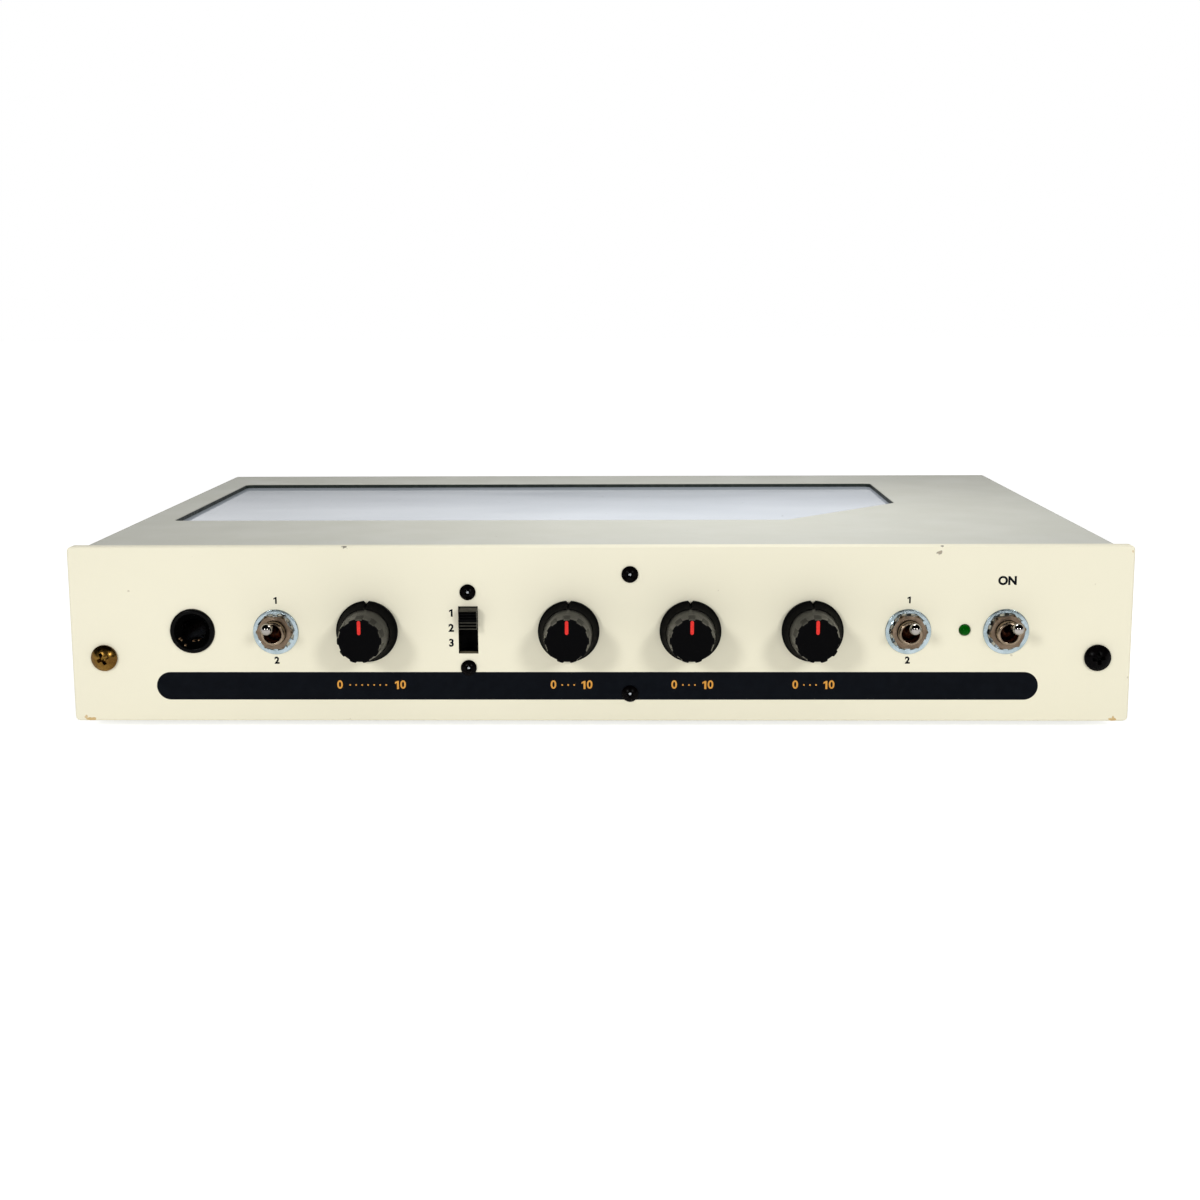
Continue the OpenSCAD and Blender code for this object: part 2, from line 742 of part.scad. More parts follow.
module toggle_bodies() {
    in_place() color("royalblue") for (x = toggle_places)
        translate([x, 0, row_z]) difference() {
            union() {
                translate([-toggle_body.x / 2, panel_t, -toggle_body.y / 2])
                    cube([toggle_body.x, toggle_body.z, toggle_body.y]);
                for (z = [-1, 0, 1] * toggle_pin_pitch)
                    translate([-1, panel_t + toggle_body.z - eps, z - pin_t / 2])
                        cube([2, pin_l, pin_t]);
            }
            translate([0, panel_t - 1, 0]) to_back()
                cylinder(r = toggle_bush_r + hole_fit, h = 2.5);
            translate([0, panel_t, 0]) to_back()
                cylinder(r = toggle_mouth_r, h = toggle_bore_end - panel_t);
        }
}

module toggle_bushings() {
    in_place() color("silver") for (x = toggle_places)
        translate([x, panel_t + 1.4, row_z]) to_front()
            ring(toggle_bush_r, toggle_mouth_r, panel_t + 1.4 + toggle_bush_out);
}

module toggle_washers() {
    tooth_l = washer_r - 1.2 - toggle_bush_r - 0.25;
    in_place() color("lightsteelblue") for (x = toggle_places)
        at_front(x, row_z) {
            ring(washer_r, washer_r - 1.3, washer_t);
            for (i = [0:washer_teeth - 1])
                rotate(360 * i / washer_teeth)
                    translate([washer_r - 1.2 - tooth_l / 2, 0, toggle_seat / 2])
                        rotate([15, 0, 0]) cube([tooth_l, 1.3, 0.4], center = true);
        }
}

module toggle_nuts() {
    in_place() color("rosybrown") for (x = toggle_places)
        at_front(x, row_z, toggle_seat) difference() {
            intersection() {
                hex(toggle_nut_af, toggle_nut_h);
                cylinder(r1 = toggle_nut_af, r2 = toggle_nut_af / sqrt(3) - 0.3,
                    h = toggle_nut_h);
            }
            translate([0, 0, -1]) cylinder(r = toggle_bush_r + hole_fit, h = toggle_nut_h + 2);
        }
}

// Bat lever on its flattened ball and cross pin, tilted up to its first position
module lever(x) {
    in_place() color("gainsboro") translate([x, toggle_pivot, row_z])
        rotate([90 - lever_tilt, 0, 0]) {
            intersection() {
                sphere(lever_ball_r);
                cube([2 * lever_flat, 2 * lever_ball_r + 1, 2 * lever_ball_r + 1], center = true);
            }
            rotate([0, 90, 0]) cylinder(r = lever_pin_r, h = 2 * lever_pin_reach, center = true);
            cylinder(r1 = lever_neck_r, r2 = lever_neck_r + 0.1, h = lever_neck_l);
            translate([0, 0, lever_neck_l])
                cylinder(r1 = lever_neck_r + 0.1, r2 = lever_tip_r, h = lever_l - lever_neck_l);
            translate([0, 0, lever_l]) sphere(lever_tip_r);
            translate([0, 0, -lever_tail_l]) cylinder(r = 0.8, h = lever_tail_l);
        }
}

module lever_attenuator() { lever(attenuator_x); }
module lever_cancel() { lever(cancel_x); }
module lever_power() { lever(power_x); }

module mode_switch_frame() {
    h = switch_screw_span + 7;
    in_place() color("silver") translate([mode_x, panel_t, slider_z]) difference() {
        union() {
            translate([-switch_frame_w / 2, 0, -h / 2]) cube([switch_frame_w, 1, h]);
            translate([-switch_frame_w / 2, 0, -slot_h / 2 - 1])
                cube([switch_frame_w, switch_case_l, slot_h + 2]);
            for (z = [-1, 0, 1] * switch_pin_pitch)
                translate([-pin_t / 2, switch_case_l - eps, z - pin_t / 2])
                    cube([pin_t, pin_l, pin_t]);
        }
        translate([-slot_w / 2, -1, -slot_h / 2]) cube([slot_w, slider_foot + 1.2, slot_h]);
        for (z = [-switch_screw_span / 2, switch_screw_span / 2])
            translate([0, -1, z]) to_back() cylinder(r = small_thread_r + hole_fit, h = 3);
    }
}

module mode_slider() {
    rise = slider_step;
    in_place() color("black") translate([mode_x, 0, slider_z + rise]) difference() {
        translate([-slider_w / 2, -slider_out, -slider_h / 2])
            cube([slider_w, slider_out + panel_t + slider_foot, slider_h]);
        for (z = [-1.6, -0.8, 0, 0.8])
            translate([-slider_w, -slider_out - 0.35, z - 0.3]) cube([2 * slider_w, 0.7, 0.5]);
    }
}

// ---------- Jacks and lamp ----------

module power_lamp() {
    in_place() color("darkgreen") translate([led_x, 0, knob_z]) {
        translate([0, panel_t, 0]) to_front() cylinder(r = led_r, h = panel_t);
        intersection() {
            sphere(led_r);
            translate([-5, -10, -5]) cube(10);
        }
        translate([0, panel_t, 0]) to_back() cylinder(r = led_r + 0.4, h = 1);
        for (s = [-0.7, 0.7])
            translate([s - 0.2, panel_t, -0.2]) cube([0.4, 8, 0.4]);
    }
}

module jack_bore(length) {
    translate([0, 0, -eps]) cylinder(r = plug_bore_r, h = length);
}

module input_jack() {
    in_place() color("black") translate([jack_x, -jack_lip, row_z]) difference() {
        union() {
            to_back() cylinder(r = jack_nose_r, h = jack_lip + panel_t + eps);
            translate([-jack_body.x / 2, jack_lip + panel_t, -jack_body.y / 2])
                cube([jack_body.x, jack_body_l, jack_body.y]);
        }
        to_back() cylinder(r1 = jack_mouth_r, r2 = plug_bore_r, h = 2.2);
        to_back() jack_bore(jack_body_l);
        translate([-1.2, jack_lip + panel_t + 2, -plug_bore_r - 1.2]) cube([2.4, 14, 2.4]);
    }
}

module jack_contacts() {
    in_place() color("peru") translate([jack_x, panel_t, row_z]) {
        translate([-0.9, 2.1, -plug_bore_r - 1]) cube([1.8, 13.6, 0.4]);
        for (y = [4, 10])
            translate([-0.9, y, -plug_bore_r - 1]) cube([1.8, 1, 1]);
    }
}

module rear_jacks() {
    in_place() color("black") for (x = rear_jack_places)
        translate([x, wall_inside, rear_z]) difference() {
            union() {
                to_back() cylinder(r = rear_nose_r, h = sheet_t + rear_nose_out);
                translate([-jack_body.x / 2, -jack_body_l, -jack_body.y / 2])
                    cube([jack_body.x, jack_body_l, jack_body.y]);
            }
            translate([0, sheet_t + rear_nose_out + eps, 0]) to_front()
                cylinder(r = plug_bore_r, h = jack_body_l);
        }
}

module rear_jack_nuts() {
    in_place() color("silver") for (x = rear_jack_places)
        translate([x, tray_back, rear_z]) to_back() difference() {
            hex(rear_nut_af, rear_nut_h);
            translate([0, 0, -1]) cylinder(r = rear_nose_r + hole_fit, h = rear_nut_h + 2);
        }
}

module power_inlet() {
    in_place() color("black") translate([inlet_x, wall_inside, rear_z]) {
        difference() {
            union() {
                to_back() cylinder(r = inlet_nose_r, h = sheet_t + inlet_nose_out);
                translate([-inlet_body.x / 2, -inlet_body_l, -inlet_body.y / 2])
                    cube([inlet_body.x, inlet_body_l, inlet_body.y]);
            }
            translate([0, sheet_t + inlet_nose_out + eps, 0]) to_front()
                cylinder(r = inlet_bore_r, h = 10);
        }
        translate([0, -9, 0]) to_back() cylinder(r = inlet_pin_r, h = 9);
    }
}

// ---------- Board and deck ----------

module circuit_board() {
    in_place() color("darkgreen") difference() {
        translate([-board_x, board_y0, board_z]) cube([2 * board_x, board_y1 - board_y0, board_t]);
        for (p = deck_posts)
            translate([p.x, p.y, board_z - 1]) cylinder(r = post_body_r + 0.4, h = board_t + 2);
        for (p = board_posts)
            translate([p.x, p.y, board_z - 1])
                cylinder(r = screw_thread_r + hole_fit, h = board_t + 2);
        for (p = foot_places)
            translate([p.x, p.y, board_z - 1]) cylinder(r = 4, h = board_t + 2);
    }
}

module board_parts() {
    in_place() color("dimgray") translate([0, 0, board_top]) {
        for (i = [0:5])
            translate([chip_at.x + i * chip_pitch, chip_at.y, 0]) cube(chip);
        for (i = [0:4])
            translate([small_can_at.x + i * small_can_pitch, small_can_at.y, 0])
                cylinder(r = small_can.x, h = small_can.y);
        for (i = [0:2])
            translate([large_can_at.x, large_can_at.y + i * large_can_pitch, 0])
                cylinder(r = large_can.x, h = large_can.y);
        translate([coil_block_at.x, coil_block_at.y, 0]) cube(coil_block);
    }
}

module standoffs() {
    in_place() color("goldenrod") {
        for (p = deck_posts)
            translate([p.x, p.y, floor_top]) difference() {
                cylinder(r = post_body_r, h = deck_bottom - floor_top);
                translate([0, 0, 8]) cylinder(r = screw_thread_r + hole_fit, h = 40);
            }
        for (p = board_posts)
            translate([p.x, p.y, floor_top]) difference() {
                cylinder(r = post_body_r, h = board_post_h);
                translate([0, 0, 0.5]) cylinder(r = screw_thread_r + hole_fit, h = 20);
            }
    }
}

module deck_outline() {
    difference() {
        translate([deck_x0, deck_y0]) square([deck_x1 - deck_x0, deck_y1 - deck_y0]);
        polygon([[deck_x1 - window_cut_x, deck_y0 - 1], [deck_x1 + 1, deck_y0 - 1],
            [deck_x1 + 1, deck_y0 + window_cut_y], [deck_x1, deck_y0 + window_cut_y],
            [deck_x1 - window_cut_x, deck_y0]]);
    }
}

module deck_plate() {
    in_place() color("gray") translate([0, 0, deck_bottom]) linear_extrude(deck_t)
        difference() {
            deck_outline();
            for (p = deck_posts)
                translate([p.x, p.y]) circle(screw_thread_r + hole_fit);
            translate([capstan.x, capstan.y]) circle(bearing_r + running_fit);
            translate([motor_at.x, motor_at.y]) circle(3.5);
        }
}

module deck_screws() {
    in_place() color("black") {
        for (p = deck_posts)
            translate([p.x, p.y, deck_top])
                screw(screw_head_r, screw_head_h, screw_thread_r, deck_t + 6);
        for (p = board_posts)
            translate([p.x, p.y, board_top])
                screw(screw_head_r, screw_head_h, screw_thread_r, board_t + 3);
    }
}

// ---------- Tape transport ----------

// Tape head: a can with a round nose that the tape runs over
module tape_head(x) {
    translate([x, run_y, head_base]) {
        translate([0, head_w / 2, 0]) cylinder(r = head_w / 2, h = head_h);
        translate([-head_w / 2, head_w / 2, 0]) cube([head_w, head_d - head_w / 2, head_h]);
    }
}

module erase_head() {
    in_place() color("gray") tape_head(erase_x);
}

module tape_heads() {
    in_place() color("silver") for (x = head_xs)
        tape_head(x);
}

module head_plate() {
    x0 = erase_x - head_w;
    in_place() color("lightgray") translate([x0, run_y + 1, deck_top])
        cube([head_xs[3] + head_w - x0, head_d + 4, head_plate_t]);
}

module capstan_shaft() {
    in_place() color("gainsboro") translate([capstan.x, capstan.y, flywheel_bottom])
        cylinder(r = capstan_r, h = pin_top - flywheel_bottom);
}

module flywheel() {
    in_place() color("darkgray") translate([capstan.x, capstan.y, flywheel_bottom])
        difference() {
            cylinder(r = flywheel_r, h = flywheel_h);
            translate([0, 0, -1]) cylinder(r = capstan_r + running_fit, h = flywheel_h + 2);
            translate([0, 0, flywheel_h - 1.5]) ring(flywheel_r - 4, capstan_r + 5, 2);
        }
}

module capstan_bearing() {
    in_place() color("darkgoldenrod") translate([capstan.x, capstan.y, deck_bottom - bearing_drop])
        difference() {
            union() {
                cylinder(r = bearing_r, h = bearing_drop + deck_t + bearing_rise);
                translate([0, 0, bearing_drop + deck_t]) cylinder(r = bearing_flange_r, h = 1);
            }
            translate([0, 0, -1]) cylinder(r = capstan_r + running_fit, h = 20);
        }
}

module motor() {
    in_place() color("silver") translate([motor_at.x, motor_at.y, deck_top]) difference() {
        union() {
            cylinder(r = motor_r, h = motor_h - 1.5);
            cylinder(r = motor_r - 1.5, h = motor_h);
        }
        translate([0, 0, -1]) cylinder(r = shaft_r_small + running_fit, h = 5);
    }
}

module motor_pulley() {
    in_place() color("gold") translate([motor_at.x, motor_at.y, flywheel_bottom]) {
        cylinder(r = pulley_r, h = flywheel_h);
        cylinder(r = shaft_r_small, h = deck_top - flywheel_bottom + 3.5);
    }
}

module drive_belt() {
    wheels = [motor_at, [capstan.x, capstan.y, flywheel_r]];
    in_place() color("black")
        translate([0, 0, flywheel_bottom + (flywheel_h - belt_h) / 2]) linear_extrude(belt_h)
            difference() {
                polygon(band_points(wheels, tape_gap + belt_t));
                polygon(band_points(wheels, tape_gap));
            }
}

// Flat arm from its pivot to its roller, with the pin that the roller turns on
module arm(pivot, tip) {
    v = [tip.x - pivot.x, tip.y - pivot.y];
    translate([pivot.x, pivot.y, arm_bottom]) {
        difference() {
            union() {
                cylinder(r = arm_w / 2, h = arm_t + 2);
                rotate(atan2(v.y, v.x)) translate([0, 1 - arm_w / 2, 0])
                    cube([norm(v), arm_w - 2, arm_t]);
                translate([v.x, v.y, 0]) cylinder(r = arm_w / 2, h = arm_t);
            }
            translate([0, 0, -1]) cylinder(r = arm_pin_r + running_fit, h = arm_t + 5);
        }
        translate([v.x, v.y, 0]) cylinder(r = arm_pin_r, h = pin_top - arm_bottom);
    }
}

// Roller with two flanges; its bore runs on a pin of radius pin_r
module flanged_roller(at, pin_r) {
    height = roller_top - roller_bottom;
    translate([at.x, at.y, roller_bottom]) difference() {
        union() {
            cylinder(r = roller_r, h = height);
            for (z = [0, height - flange_t])
                translate([0, 0, z]) cylinder(r = flange_r, h = flange_t);
        }
        translate([0, 0, -1]) cylinder(r = pin_r + running_fit, h = 40);
    }
}

module pinch_arm() {
    in_place() color("silver") arm(pinch_pivot, pinch_at);
}

module pinch_roller() {
    in_place() color("dimgray") translate([pinch_at.x, pinch_at.y, roller_bottom])
        ring(pinch_r, arm_pin_r + running_fit, roller_top - roller_bottom);
}

module guide_roller_front() {
    in_place() color("whitesmoke") flanged_roller(front_roller, post_r);
}

module guide_roller_right() {
    in_place() color("whitesmoke") flanged_roller(right_roller, post_r);
}

module guide_roller_rear() {
    in_place() color("whitesmoke") flanged_roller(rear_roller, post_r);
}

// Posts of the guide rollers and pivots of the two arms
module roller_posts() {
    in_place() color("silver") {
        for (p = post_places)
            translate([p.x, p.y, deck_top]) {
                cylinder(r = post_r + 1.5, h = roller_bottom - 0.3 - deck_top);
                cylinder(r = post_r, h = pin_top - deck_top);
            }
        for (p = [pinch_pivot, tension_pivot])
            translate([p.x, p.y, deck_top]) {
                cylinder(r = arm_pin_r, h = 5.5);
                cylinder(r = arm_w / 2 - 1, h = 0.3);
            }
    }
}

module tension_arm() {
    in_place() color("silver") arm(tension_pivot, tension_roller_at);
}

module tension_roller() {
    in_place() color("whitesmoke") flanged_roller(tension_roller_at, arm_pin_r);
}

module tape_loop() {
    path = [front_roller, capstan, right_roller, tension_roller_at, rear_roller];
    in_place() color("saddlebrown") translate([0, 0, tape_mid - tape_w / 2])
        linear_extrude(tape_w) difference() {
            polygon(band_points(path, tape_gap + tape_t));
            polygon(band_points(path, tape_gap));
        }
}

front_panel();
chassis_tray();
top_cover();
window_pane();
panel_brackets();
rubber_feet();
foot_screws();
side_screw_left();
side_screw_right();
centre_screws();
cover_screws();
switch_screws();
knob_volume();
knob_echo();
knob_repeat();
knob_time();
shaft_volume();
shaft_echo();
shaft_repeat();
shaft_time();
pot_bodies();
pot_nuts();
toggle_bodies();
toggle_bushings();
toggle_washers();
toggle_nuts();
lever_attenuator();
lever_cancel();
lever_power();
mode_switch_frame();
mode_slider();
power_lamp();
input_jack();
jack_contacts();
rear_jacks();
rear_jack_nuts();
power_inlet();
circuit_board();
board_parts();
standoffs();
deck_plate();
deck_screws();
erase_head();
tape_heads();
head_plate();
capstan_shaft();
flywheel();
capstan_bearing();
motor();
motor_pulley();
drive_belt();
pinch_arm();
pinch_roller();
guide_roller_front();
guide_roller_right();
guide_roller_rear();
roller_posts();
tension_arm();
tension_roller();
tape_loop();
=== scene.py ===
"""Looks of a tape echo unit: a cream steel case, put together from its tray up to its print."""

import math

import bmesh
import bpy
from mathutils import Matrix, Vector


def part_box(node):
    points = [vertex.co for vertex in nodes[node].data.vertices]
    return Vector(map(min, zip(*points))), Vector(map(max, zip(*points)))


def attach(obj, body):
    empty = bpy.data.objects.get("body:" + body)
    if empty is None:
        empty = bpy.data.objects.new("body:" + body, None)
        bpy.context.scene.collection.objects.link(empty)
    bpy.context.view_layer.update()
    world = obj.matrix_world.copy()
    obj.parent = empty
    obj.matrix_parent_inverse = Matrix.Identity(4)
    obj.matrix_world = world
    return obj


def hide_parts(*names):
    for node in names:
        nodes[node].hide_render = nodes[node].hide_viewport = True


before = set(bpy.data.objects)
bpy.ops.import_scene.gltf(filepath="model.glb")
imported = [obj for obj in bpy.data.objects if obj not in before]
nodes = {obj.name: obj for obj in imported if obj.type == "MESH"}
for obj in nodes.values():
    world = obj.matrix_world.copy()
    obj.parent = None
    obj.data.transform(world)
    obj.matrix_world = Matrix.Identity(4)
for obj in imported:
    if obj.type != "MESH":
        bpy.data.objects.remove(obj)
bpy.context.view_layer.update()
MM = 0.001


# ---------- Camera ----------
# The unit is seen almost square on, from a little right of its middle and ten degrees
# above, at less than half a metre. The pose was found from the corners of the case.
panel_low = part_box("front_panel")[0]
face_y = panel_low.y
sill_z = panel_low.z
pitch, yaw, roll = (math.radians(a) for a in (9.827, -1.175, -0.25))
forward = Vector((math.sin(yaw) * math.cos(pitch), math.cos(yaw) * math.cos(pitch),
                  -math.sin(pitch)))
level_right = Vector((math.cos(yaw), -math.sin(yaw), 0))
level_up = level_right.cross(forward)
right = level_right * math.cos(roll) + level_up * math.sin(roll)
up = level_up * math.cos(roll) - level_right * math.sin(roll)
camera_data = bpy.data.cameras.new("camera")
camera_data.sensor_width = 36
camera_data.lens = 52.97
camera_data.clip_start = 0.01
camera = bpy.data.objects.new("camera", camera_data)
bpy.context.scene.collection.objects.link(camera)
camera.matrix_world = Matrix((right, up, -forward)).transposed().to_4x4()
camera.location = (9.92 * MM, face_y - 457.4 * MM, sill_z + 111.9 * MM)
bpy.context.scene.camera = camera


# ---------- Studio ----------
# A white table under two soft lamps, high at the left and at the right of the camera,
# so that each knob throws one shadow to either side, and a small lamp over the cover.
def srgb(red, green, blue, alpha=1.0):
    """A colour as a paint chart gives it, 0 to 255, for a shader."""
    parts = [c / 255 for c in (red, green, blue)]
    return tuple(c / 12.92 if c <= 0.04045 else ((c + 0.055) / 1.055) ** 2.4
                 for c in parts) + (alpha,)


def wire(tree, start, end):
    tree.links.new(start, end)


def add_node(tree, kind, **values):
    made = tree.nodes.new(kind)
    for key, value in values.items():
        setattr(made, key, value)
    return made


def seen_directly(tree):
    """1 for camera, mirror and see-through rays, 0 for the rays that light the object."""
    path = add_node(tree, "ShaderNodeLightPath")
    either = add_node(tree, "ShaderNodeMath", operation="MAXIMUM")
    both = add_node(tree, "ShaderNodeMath", operation="MAXIMUM")
    wire(tree, path.outputs["Is Camera Ray"], either.inputs[0])
    wire(tree, path.outputs["Is Glossy Ray"], either.inputs[1])
    wire(tree, either.outputs[0], both.inputs[0])
    wire(tree, path.outputs["Is Transmission Ray"], both.inputs[1])
    return both.outputs[0]


ambient = 0.41
world = bpy.data.worlds.new("studio")
bpy.context.scene.world = world
world.use_nodes = True
sky = world.node_tree
background = sky.nodes["Background"]
background.inputs["Color"].default_value = (1, 1, 1, 1)
level = add_node(sky, "ShaderNodeMapRange")
level.inputs["To Min"].default_value = ambient
level.inputs["To Max"].default_value = 1.0
wire(sky, seen_directly(sky), level.inputs["Value"])
wire(sky, level.outputs["Result"], background.inputs["Strength"])
for name, aim, distance, watts, size in (("left_lamp", (-0.43, -0.84, 0.36), 1.5, 5.4, 0.24),
                                         ("right_lamp", (0.43, -0.84, 0.36), 1.5, 5.4, 0.24),
                                         ("cover_lamp", (0.22, 0.32, 0.92), 0.22, 0.21, 0.08)):
    lamp_data = bpy.data.lights.new(name, "AREA")
    lamp_data.energy = watts
    lamp_data.size = size
    lamp = bpy.data.objects.new(name, lamp_data)
    bpy.context.scene.collection.objects.link(lamp)
    aim = Vector(aim).normalized()
    lamp.location = Vector((0, face_y, sill_z)) + aim * distance
    lamp.rotation_euler = aim.to_track_quat("Z", "Y").to_euler()
    lamp.visible_camera = False


def card(name, corners, faces):
    mesh = bpy.data.meshes.new(name)
    mesh.from_pydata(corners, [], faces)
    made = bpy.data.objects.new(name, mesh)
    bpy.context.scene.collection.objects.link(made)
    return made


def finish(name, colour, roughness, metallic=0.0, **sockets):
    """A new material whose even values sit on the shader's own sockets."""
    material = bpy.data.materials.new(name)
    material.use_nodes = True
    shader = material.node_tree.nodes["Principled BSDF"]
    shader.inputs["Base Color"].default_value = colour
    shader.inputs["Roughness"].default_value = roughness
    shader.inputs["Metallic"].default_value = metallic
    for key, value in sockets.items():
        shader.inputs[key.replace("_", " ")].default_value = value
    return material


# Cards that the camera doesn't see give the metal and the glass something to mirror: a black
# canopy in front, above and at the sides, and a low grey one beyond the table.
half, front, back, top = 2.4, -1.9, 4.2, 2.0
canopy_corners = [(x, y, z) for x in (-half, half) for y in (front, back) for z in (0, top)]
black_canopy = card("black_canopy", canopy_corners, [(0, 1, 5, 4), (1, 3, 7, 5), (0, 1, 3), (4, 5, 7)])
reach, beyond, card_top = 4, 2.1, 0.29
grey_card = card("grey_card", [(-reach, beyond, 0), (reach, beyond, 0), (reach, beyond, card_top),
                               (-reach, beyond, card_top)], [(0, 1, 2, 3)])
for unseen, tone in ((black_canopy, 16), (grey_card, 150)):
    unseen.visible_camera = unseen.visible_diffuse = unseen.visible_shadow = False
    unseen.data.materials.append(finish(unseen.name, srgb(tone, tone, tone), 0.9, Specular_IOR_Level=0.0))

table = card("table", [(-reach, -reach, 0), (reach, -reach, 0), (reach, reach, 0), (-reach, reach, 0)],
             [(0, 1, 2, 3)])
table_paint = finish("table_paint", srgb(250, 250, 250), 0.9, Specular_IOR_Level=0.0,
                     Emission_Color=(1, 1, 1, 1))
paint_tree = table_paint.node_tree
glow = add_node(paint_tree, "ShaderNodeMapRange")
glow.inputs["To Min"].default_value = 0.16
glow.inputs["To Max"].default_value = 0.62
wire(paint_tree, seen_directly(paint_tree), glow.inputs["Value"])
wire(paint_tree, glow.outputs[0], paint_tree.nodes["Principled BSDF"].inputs["Emission Strength"])
table.data.materials.append(table_paint)
bpy.context.scene.view_settings.view_transform = "Standard"


# ---------- Chassis tray ----------
# One sheet of steel folded up at the sides and the back, in the same enamel as the cover.
# Sprayed enamel is a little uneven in colour and gloss, and its skin is a faint orange peel.
def noise(material, scale, detail=3.0, stretch=(1, 1, 1)):
    """Noise over the object's own metres, scale in waves to the metre."""
    tree = material.node_tree
    place = add_node(tree, "ShaderNodeTexCoord")
    mapping = add_node(tree, "ShaderNodeMapping")
    mapping.inputs["Scale"].default_value = stretch
    pattern = add_node(tree, "ShaderNodeTexNoise")
    pattern.inputs["Scale"].default_value = scale
    pattern.inputs["Detail"].default_value = detail
    wire(tree, place.outputs["Object"], mapping.inputs["Vector"])
    wire(tree, mapping.outputs["Vector"], pattern.inputs["Vector"])
    return pattern.outputs["Fac"]


def ramp(material, value, low, high, start, end):
    """Maps a value from start..end to low..high, and no further."""
    tree = material.node_tree
    remap = add_node(tree, "ShaderNodeMapRange")
    remap.inputs["From Min"].default_value = start
    remap.inputs["From Max"].default_value = end
    remap.inputs["To Min"].default_value = low
    remap.inputs["To Max"].default_value = high
    wire(tree, value, remap.inputs["Value"])
    return remap.outputs["Result"]


def tint(material, factor, colour):
    """Mixes another colour over the base colour where factor is 1."""
    tree = material.node_tree
    base = tree.nodes["Principled BSDF"].inputs["Base Color"]
    mix = add_node(tree, "ShaderNodeMix", data_type="RGBA")
    under, over, result = mix.inputs[6], mix.inputs[7], mix.outputs[2]
    if base.links:
        wire(tree, base.links[0].from_socket, under)
    else:
        under.default_value = base.default_value
    over.default_value = colour
    wire(tree, factor, mix.inputs[0])
    wire(tree, result, base)


def cloud(material, scale, colour, amount=1.0, stretch=(1, 1, 1)):
    """Slow patches of another shade."""
    tint(material, ramp(material, noise(material, scale, 3, stretch), 0, amount, 0.38, 0.66), colour)


def specks(material, scale, colour, amount=1.0, rare=0.74):
    """Small scattered dots of dirt or dust; a higher rare leaves fewer."""
    tint(material, ramp(material, noise(material, scale, 0), 0, amount, rare, rare + 0.03), colour)


def uneven_gloss(material, scale, low, high, stretch=(1, 1, 1)):
    value = ramp(material, noise(material, scale, 4, stretch), low, high, 0.35, 0.65)
    wire(material.node_tree, value, material.node_tree.nodes["Principled BSDF"].inputs["Roughness"])


def grain(material, scale, depth, stretch=(1, 1, 1)):
    """A bumpy skin, its depth in millimetres; further grains add to the ones before."""
    tree = material.node_tree
    bump = add_node(tree, "ShaderNodeBump")
    bump.inputs["Distance"].default_value = depth * MM
    wire(tree, noise(material, scale, 2, stretch), bump.inputs["Height"])
    normal = tree.nodes["Principled BSDF"].inputs["Normal"]
    if normal.links:
        wire(tree, normal.links[0].from_socket, bump.inputs["Normal"])
    wire(tree, bump.outputs["Normal"], normal)


def dress(material, *names):
    """Gives CAD nodes another material."""
    for name in names:
        mesh = nodes[name].data
        mesh.materials.clear()
        mesh.materials.append(material)


def enamel(name, colour, shade, dirt):
    material = finish(name, colour, 0.42, Specular_IOR_Level=0.2)
    cloud(material, 11, shade, 0.6)
    specks(material, 520, dirt, 0.4, 0.865)
    uneven_gloss(material, 60, 0.38, 0.50)
    grain(material, 900, 0.010)
    return material


# The cover's greyer cream is the panel's enamel darkened: painted shade for the top, which gets less light
# than the front.
shaded_cream_enamel = enamel("shaded_cream_enamel", srgb(200, 200, 188), srgb(195, 196, 186), srgb(140, 130, 110))
dress(shaded_cream_enamel, "chassis_tray")


# ---------- Rubber feet ----------
# Four moulded rubber feet, each with a domed edge and a sunk hole for its screw.
def at(x, y, z):
    """A place given in mm from the middle of the panel's lower front edge."""
    return Vector((x * MM, face_y + y * MM, sill_z + z * MM))


def facing(direction, x, y, z):
    """A frame in mm at a place, whose Z axis looks one of six ways out of the case."""
    turn = {"front": ("X", 90), "back": ("X", -90), "up": ("X", 0), "down": ("X", 180),
            "left": ("Y", -90), "right": ("Y", 90)}[direction]
    spin = Matrix.Rotation(math.radians(turn[1]), 4, turn[0])
    return Matrix.Translation(at(x, y, z)) @ spin @ Matrix.Scale(MM, 4)


def middle(node):
    """The middle of a CAD node, in mm from the middle of the panel's lower front edge."""
    low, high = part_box(node)
    place = (low + high) / 2 - at(0, 0, 0)
    return place.x / MM, place.y / MM, place.z / MM


def half_height(node):
    low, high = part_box(node)
    return (high.z - low.z) / MM / 2


def arc(centre, radius, start, end, steps=6):
    """Points of an arc of a profile or an outline; angles in degrees, 0 outward, 90 up."""
    angles = [math.radians(start + (end - start) * i / steps) for i in range(steps + 1)]
    return [(centre[0] + radius * math.cos(a), centre[1] + radius * math.sin(a)) for a in angles]


def lathe(solid, profile, place, steps=64, shape=None, closed=False, paint=0):
    """Turns a profile of (radius, height) round the Z axis of place. shape(radius, height,
    angle) gives another radius, for flats, flutes and notches."""
    rings = []
    for radius, height in profile:
        if radius < 1e-6:
            rings.append([solid.verts.new(place @ Vector((0, 0, height)))])
            continue
        ring = []
        for i in range(steps):
            angle = 2 * math.pi * i / steps
            reach = shape(radius, height, angle) if shape else radius
            point = Vector((reach * math.cos(angle), reach * math.sin(angle), height))
            ring.append(solid.verts.new(place @ point))
        rings.append(ring)
    pairs = list(zip(rings, rings[1:]))
    if closed:
        pairs.append((rings[-1], rings[0]))
    for low, high in pairs:
        for i in range(steps):
            j = (i + 1) % steps
            corners = [low[i % len(low)], low[j % len(low)], high[j % len(high)], high[i % len(high)]]
            corners = list(dict.fromkeys(corners))
            if len(corners) > 2:
                solid.faces.new(corners).material_index = paint


